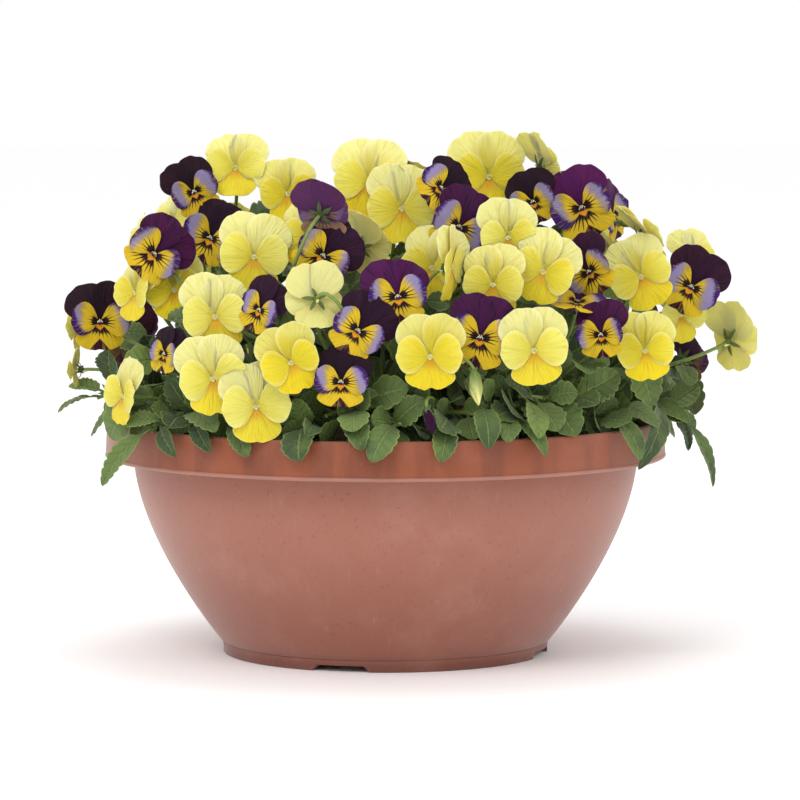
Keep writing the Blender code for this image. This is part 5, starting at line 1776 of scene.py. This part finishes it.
# Closed buds and shut flowers on hooked stems: place in the picture (across, down), how far nearer the eye,
# length, half width, which way they hang (across, up) and colour; at the back azimuth, height and colour
budLook = {
    "front": (
        (430, 421, 2 * mm, 13 * mm, 2.9 * mm, (0.25, -1.0), "violet"),
        (476, 388, 0, 18 * mm, 3.4 * mm, (0.15, -1.0), "green"),
        (700, 424, 2 * mm, 12 * mm, 2.6 * mm, (0.7, -0.8), "green"),
        (629, 222, 4 * mm, 10 * mm, 2.6 * mm, (0.9, 0.1), "green"),
        (286, 178, -4 * mm, 12 * mm, 2.7 * mm, (-0.5, -0.7), "violet"),
    ),
    "back": ((104, 182, "violet"), (138, 196, "green"), (172, 186, "violet"), (204, 192, "green"),
             (236, 186, "green"), (262, 178, "violet")),
    "backLength": 13 * mm,
    "backWidth": 2.9 * mm,
    "reach": (12 * mm, 42 * mm),
    "slides": 14,
    "owners": 40,  # nearest places tried for its stem
    "stemRadius": 0.85 * mm,
    "stemSteps": 14,
}


def budMesh(base, look, length, width, sides=14, rows=12):
    right = look.orthogonal().normalized()
    up = look.cross(right)
    points, marks = [], []
    for i in range(rows + 1):
        t = i / rows
        reach = width * sin(pi * (0.06 + 0.93 * t ** 0.8)) ** 0.75
        for k in range(sides):
            a = 2 * pi * k / sides
            lobe = 1 + 0.13 * sin(5 * a + 5 * t)
            points.append(base + look * t * length + (right * cos(a) + up * sin(a)) * reach * lobe)
            marks.append((0.3 * sin(5 * a + 5 * t), 0.2 + 0.6 * t, 0.5))
    faces = []
    for i in range(rows):
        for k in range(sides):
            a, b = i * sides + k, i * sides + (k + 1) % sides
            faces.append((a, b, b + sides, a + sides))
    faces.append(tuple(range(sides))[::-1])
    faces.append(tuple(rows * sides + k for k in range(sides)))
    return points, faces, marks


def placeBuds(crowd, grown):
    look = budLook
    wishes = []
    for across, down, ahead, length, width, hang, kind in look["front"]:
        line = sightLine(across, down)
        hang = Vector((hang[0], -0.15, hang[1]))
        wishes.append((meetMound(across, down) - line * ahead, -line, hang, length, width, kind))
    for azimuth, height, kind in look["back"]:
        out = roundAxis(azimuth, 1, 0)
        hang = out * 0.5 + lift(-1)
        wishes.append((onMound(azimuth, height * mm), out, hang, look["backLength"], look["backWidth"], kind))
    low, high = look["reach"]
    rooted = [(alongPath(smoothPath(g), k / 12), g) for g in grown for k in range(3, 11)]
    buds = []
    for number, (place, slide, hang, length, width, kind) in enumerate(wishes):
        hang.normalize()
        for step in [sign * k for k in range(look["slides"]) for sign in (1, -1)]:
            neck = place + slide * step * 2 * mm - hang * length * 0.5
            tube = tubeMesh([neck, neck + hang * length], [width, width * 0.6], 6)
            near = [(spot, g) for spot, g in rooted
                    if low < (spot - neck).length < high and spot.z < neck.z + 4 * mm]
            near.sort(key=lambda pair: (pair[0] - neck).length)
            if not inBox(tube[0]) or crowd.meets(tube, lambda n, t: True):
                continue
            for spot, owner in near[:look["owners"]]:
                rise = lift(9 * mm)
                curve = (spot, spot + rise, neck - hang * 7 * mm + rise * 0.4, neck)
                stem = growthMesh(False, curve)
                tag = owner["tag"]
                if inBox(stem[0]) and not crowd.meets(stem, lambda n, t: t != tag and t != "crown"):
                    crowd.add(owner["node"], f"bud{number}", tube)
                    crowd.add(owner["node"], f"budStem{number}", stem)
                    buds.append(dict(curve=curve, look=hang, length=length, width=width, kind=kind,
                                     node=owner["node"], number=number))
                    break
            else:
                continue
            break
    print(f"{len(buds)} of {len(wishes)} buds")
    return buds


def addBud(mould, bud):
    draw = random.Random(seeds["bud"] + bud["number"])
    chance = (draw.random(), draw.random(), 0.3)
    steps, sides = budLook["stemSteps"], stemLook["sides"]
    path = [bezier(bud["curve"], t / (steps - 1)) for t in range(steps)]
    marks = [(0, t / (steps - 1), 1.0) for t in range(steps) for _ in range(sides)]
    mould.add((*tubeMesh(path, [budLook["stemRadius"]] * steps, sides), marks), 1, chance)
    neck = bud["curve"][3]
    mesh = budMesh(neck, bud["look"], bud["length"], bud["width"])
    mould.add(mesh, 3 if bud["kind"] == "violet" else 2, (0.8, 0.5, draw.random()))
    addSepals(mould, neck + bud["look"] * 1.2 * mm, bud["look"], 15 * mm, draw, chance, 0.35)


def addStipules(mould, leaf, draw, chance):
    base = leaf["frame"].translation
    along = (leaf["frame"].to_3x3() @ Vector((0, 1, 0))).normalized()
    way = (leaf["frame"].to_3x3() @ lift(1)).normalized()
    side = along.cross(way)
    for sign in (-1, 1):
        for reach, spread in ((1.0, 0.7), (0.6, 1.5)):
            aim = (along + side * sign * spread * draw.uniform(0.8, 1.2)).normalized()
            tip = base + aim * stemLook["stipuleLength"] * reach * draw.uniform(0.7, 1.1)
            mould.add(smallBlade(base, tip, way, stemLook["stipuleWidth"] * reach, 0.4 * mm, 5), 0, chance)


def makePlants(crowns, grown, leaves, buds, paints):
    owners = {growth["tag"]: growth for growth in grown}
    for crown in crowns:
        mould = Mould()
        foot = crown["foot"]
        path = [foot + lift(z) for z in (-crownDepth, crownRise * 0.2, crownRise * 0.8, crownRise * 1.05)]
        radii = [crownRadius * share for share in (0.7, 0.85, 0.7, 0.3)]
        mould.add(tubeMesh(path, radii, 12), 1, (0.2, 0.2, 0.5))
        for growth in grown:
            if growth["node"] == crown["node"]:
                addStem(mould, growth, random.Random(seeds["stem"] + growth["seed"] * 2 + growth["stem"]))
        for leaf in leaves:
            if leaf["node"] != crown["node"]:
                continue
            draw = random.Random(seeds["blade"] + leaf["seed"])
            chance = (draw.random(), draw.random(), draw.random())
            # a leaf of the solids moves to where it grows on the smooth stem
            if "owner" in leaf:
                leaf["frame"].translation = alongPath(smoothPath(owners[leaf["owner"]]), leaf["share"])
            mould.add(fineLeaf(leaf, draw, leaf.get("small", False)), 0, chance)
            if not leaf.get("small") or leaf["seed"] % 4 == 0:
                addStipules(mould, leaf, draw, chance)
        for bud in buds:
            if bud["node"] == crown["node"]:
                addBud(mould, bud)
        mould.make(crown["node"] + "_greenery", paints, crown["node"])
    print(f"{len(crowns)} plants made")


# Bowl
potLook = {
    "sides": 192,
    "bodySteps": 22,
    "bead": 0.9 * mm,
    "edge": 1.0 * mm,
}


def arc(x, z, radius, first, last, steps=4):
    points = []
    for k in range(steps + 1):
        a = radians(first + (last - first) * k / steps)
        points.append((x + radius * cos(a), z + radius * sin(a)))
    return points


def makePot(paint):
    look = potLook
    e = look["edge"]
    bead = look["bead"]
    steps = look["bodySteps"]
    heights = [footHeight + (shoulder - footHeight) * k / steps for k in range(steps + 1)]
    profile = [(0, floorTop), (floorInside, floorTop)]
    profile += [(bowlRadius(z) - wallThickness, z) for z in heights[1:]]
    profile += [(collarInside - e, shoulder + wallThickness), (collarInside, shoulder + wallThickness + e)]
    profile += arc(collarInside + e, rimHeight - e, e, 180, 90)
    profile += arc(rimRadius - collarLean - e, rimHeight - e, e, 90, 0)
    profile += arc(rimRadius - bead * 0.4, shoulder + 2.6 * mm, 0.3 * mm, 90, 180, 2)
    profile += arc(rimRadius - bead, shoulder + bead * 1.3, bead, 60, -90, 6)
    profile += [(bodyRadius + 0.4 * mm, shoulder)]
    profile += [(bowlRadius(z), z) for z in heights[-2:0:-1]]
    profile += [(footRadius + footLedge, footHeight + 0.3 * mm)]
    profile += arc(footRadius - 0.2 * mm, footHeight - 0.6 * mm, 0.6 * mm, 60, 0, 2)
    profile += [(footRadius, 3.6 * mm)] + arc(footRadius - 0.5 * mm, 0.5 * mm, 0.5 * mm, 0, -90, 3)
    profile += [(footRadius - 5 * mm, 0), (footRadius - 5.5 * mm, 1 * mm)]
    profile += [(footRadius - footRing, recessHeight), (0, recessHeight)]
    verts, faces = turnedMesh(profile, look["sides"])
    half = asin(notchWidth / 2 / footRadius)
    for v in verts:
        r = hypot(v.x, v.y)
        if v.z < 3.5 * mm and r > footRadius - 8 * mm:
            here = degrees(atan2(v.x, -v.y))
            for turn in notchTurns:
                off = radians(abs((here - turn + 180) % 360 - 180))
                share = min(1, max(0, (half - off) / (half * 0.16)))
                v.z = max(v.z, notchHeight * share * share * (3 - 2 * share))
    mould = Mould()
    mould.add((verts, faces), 0)
    piece = mould.make("bowl", [paint], "pot", 35)
    drillDrains(piece)
    print("bowl made")


def drillDrains(piece):
    helpers = bpy.data.collections.new("drains")
    bpy.context.scene.collection.children.link(helpers)
    for k in range(4):
        spot = roundAxis(45 + 90 * k, drainRing, 0) + potAxis
        path = [spot + lift(recessHeight - 2 * mm), spot + lift(floorTop + 2 * mm)]
        verts, faces = tubeMesh(path, [drainRadius] * 2, 24)
        mesh = bpy.data.meshes.new("drain")
        mesh.from_pydata([tuple(v) for v in verts], [], faces)
        helpers.objects.link(bpy.data.objects.new(f"drain{k}", mesh))
    cut = piece.modifiers.new("drains", "BOOLEAN")
    cut.operand_type = "COLLECTION"
    cut.collection = helpers
    cut.operation = "DIFFERENCE"
    cut.solver = "EXACT"
    graph = bpy.context.evaluated_depsgraph_get()
    drilled = bpy.data.meshes.new_from_object(piece.evaluated_get(graph))
    piece.modifiers.clear()
    piece.data = drilled
    for helper in list(helpers.objects):
        bpy.data.objects.remove(helper, do_unlink=True)
    bpy.data.collections.remove(helpers)


# Soil
soilLook = {
    "sides": 72,
    "rings": 26,
    "roughness": 1.3 * mm,
    "lower": 1.6 * mm,  # how far the crumbs start under the top of the solid
    "crumbs": 700,
    "crumbSize": (0.7 * mm, 2.3 * mm),
}


def makeSoil(paint):
    look = soilLook
    outline = soilProfile()
    outer = outline[2][0]
    top = []
    for k in range(look["rings"]):
        r = outer * (k / (look["rings"] - 1)) ** 0.8
        top.append((r, soilHeight(r, 0) - look["lower"]))
    verts, faces = turnedMesh(top + outline[3:], look["sides"])
    for v in verts:
        if v.z > 112 * mm and hypot(v.x, v.y) < outer - 0.5 * mm:
            v.z += noise.fractal(v * 170, 0.8, 2.1, 4) * look["roughness"]
    mould = Mould()
    mould.add((verts, faces), 0)
    draw = random.Random(seeds["crumbs"])
    least, most = look["crumbSize"]
    for _ in range(look["crumbs"]):
        a, r = draw.uniform(0, 2 * pi), (outer - 3 * mm) * sqrt(draw.random())
        size = least + (most - least) * draw.random() ** 2.5
        centre = Vector((r * cos(a), r * sin(a), 0))
        centre.z = soilHeight(centre.x, centre.y) - 1.5 * mm + size * 0.2
        verts, faces = ballMesh(Vector(), size, draw.uniform(0.45, 1.0), 6, 4)
        turn = Matrix.Rotation(anyPhase(draw), 4, jolt(draw).normalized())
        verts = [centre + turn @ (v * draw.uniform(0.75, 1.15)) for v in verts]
        mould.add((verts, faces), 0, (draw.random(), draw.random(), 0))
    mould.make("soil_bed", [paint], "soil", 30)
    print("soil made")


# Floor, light and camera
stageLook = {
    "floorRadius": 14.0,
    "floor": tint(254, 254, 254),
    "world": (1.0, 1.0, 1.0, 1.0),
    "worldStrength": 1.0,
    "lit": (0, 0, 0.13),  # the point that the lights aim at
    "lights": (
        # name, place, size, power, colour
        ("key", (-0.9, -1.9, 2.3), 1.3, 26, (1.0, 0.985, 0.96)),
        ("fill", (1.9, -1.5, 1.3), 1.4, 4, (0.97, 0.985, 1.0)),
        ("top", (0.1, 0.3, 2.3), 1.2, 8, (1.0, 1.0, 1.0)),
    ),
}


def makeStage():
    look = stageLook
    mesh = bpy.data.meshes.new("floor")
    r = look["floorRadius"]
    mesh.from_pydata([(-r, -r, 0), (r, -r, 0), (r, r, 0), (-r, r, 0)], [], [(0, 1, 2, 3)])
    floor = newObject("floor", mesh)
    paint = Paint("floor", {"Roughness": 0.85, "Specular IOR Level": 0.1, "Base Color": look["floor"]})
    mesh.materials.append(paint.material)
    world = bpy.data.worlds.new("studio")
    world.use_nodes = True
    inputs = world.node_tree.nodes["Background"].inputs
    inputs["Color"].default_value = look["world"]
    inputs["Strength"].default_value = look["worldStrength"]
    bpy.context.scene.world = world
    for name, place, size, power, colour in look["lights"]:
        lamp = bpy.data.lights.new(name, "AREA")
        lamp.energy = power
        lamp.size = size
        lamp.color = colour
        holder = newObject(name, lamp)
        holder.location = place
        aim = Vector(look["lit"]) - Vector(place)
        holder.rotation_euler = aim.to_track_quat("-Z", "Y").to_euler()
    view = bpy.context.scene.view_settings
    view.view_transform = "Standard"
    view.look = "None"
    view.exposure = 0.0
    view.gamma = 1.0
    print("stage set")


cameraLook = {
    "pictureWidth": 800,  # in pixels
    "sensorWidth": 36,
    "farthest": 60,
}


def makeCamera():
    look = cameraLook
    data = bpy.data.cameras.new("camera")
    data.sensor_width = look["sensorWidth"]
    data.lens = focalPixels / look["pictureWidth"] * look["sensorWidth"]
    data.clip_end = look["farthest"]
    camera = newObject("camera", data)
    camera.location = eye + potAxis
    camera.rotation_euler = (pi / 2 - eyePitch, 0, -eyeYaw)
    bpy.context.scene.camera = camera


def main():
    crowd, crowns, blooms, grown, leaves = layOut()
    print(f"{len(blooms)} blooms, {len(grown)} stems and shoots, {len(leaves)} leaves placed")
    turnLeaves(crowd, leaves)
    grown += layRunners(crowd, crowns)
    buds = placeBuds(crowd, grown)
    leaves += fillLeaves(crowd, grown)
    petals = {"head": plainPaint("pistil", tint(168, 178, 92), 0.5),
              "beard": plainPaint("beard", tint(216, 214, 184), 0.6)}
    for name in petalNames:
        petals["yellow" + name] = yellowPetal(name)
        petals["violet" + name] = violetPetal(name)
    makePot(clayPlastic())
    makeSoil(pottingMix())
    greens = [leafGreen(), stemGreen(), budGreen(), petals["violetupper"]]
    makePlants(crowns, grown, leaves, buds, greens)
    makeBlooms(blooms, petals)
    makeStage()
    makeCamera()


main()
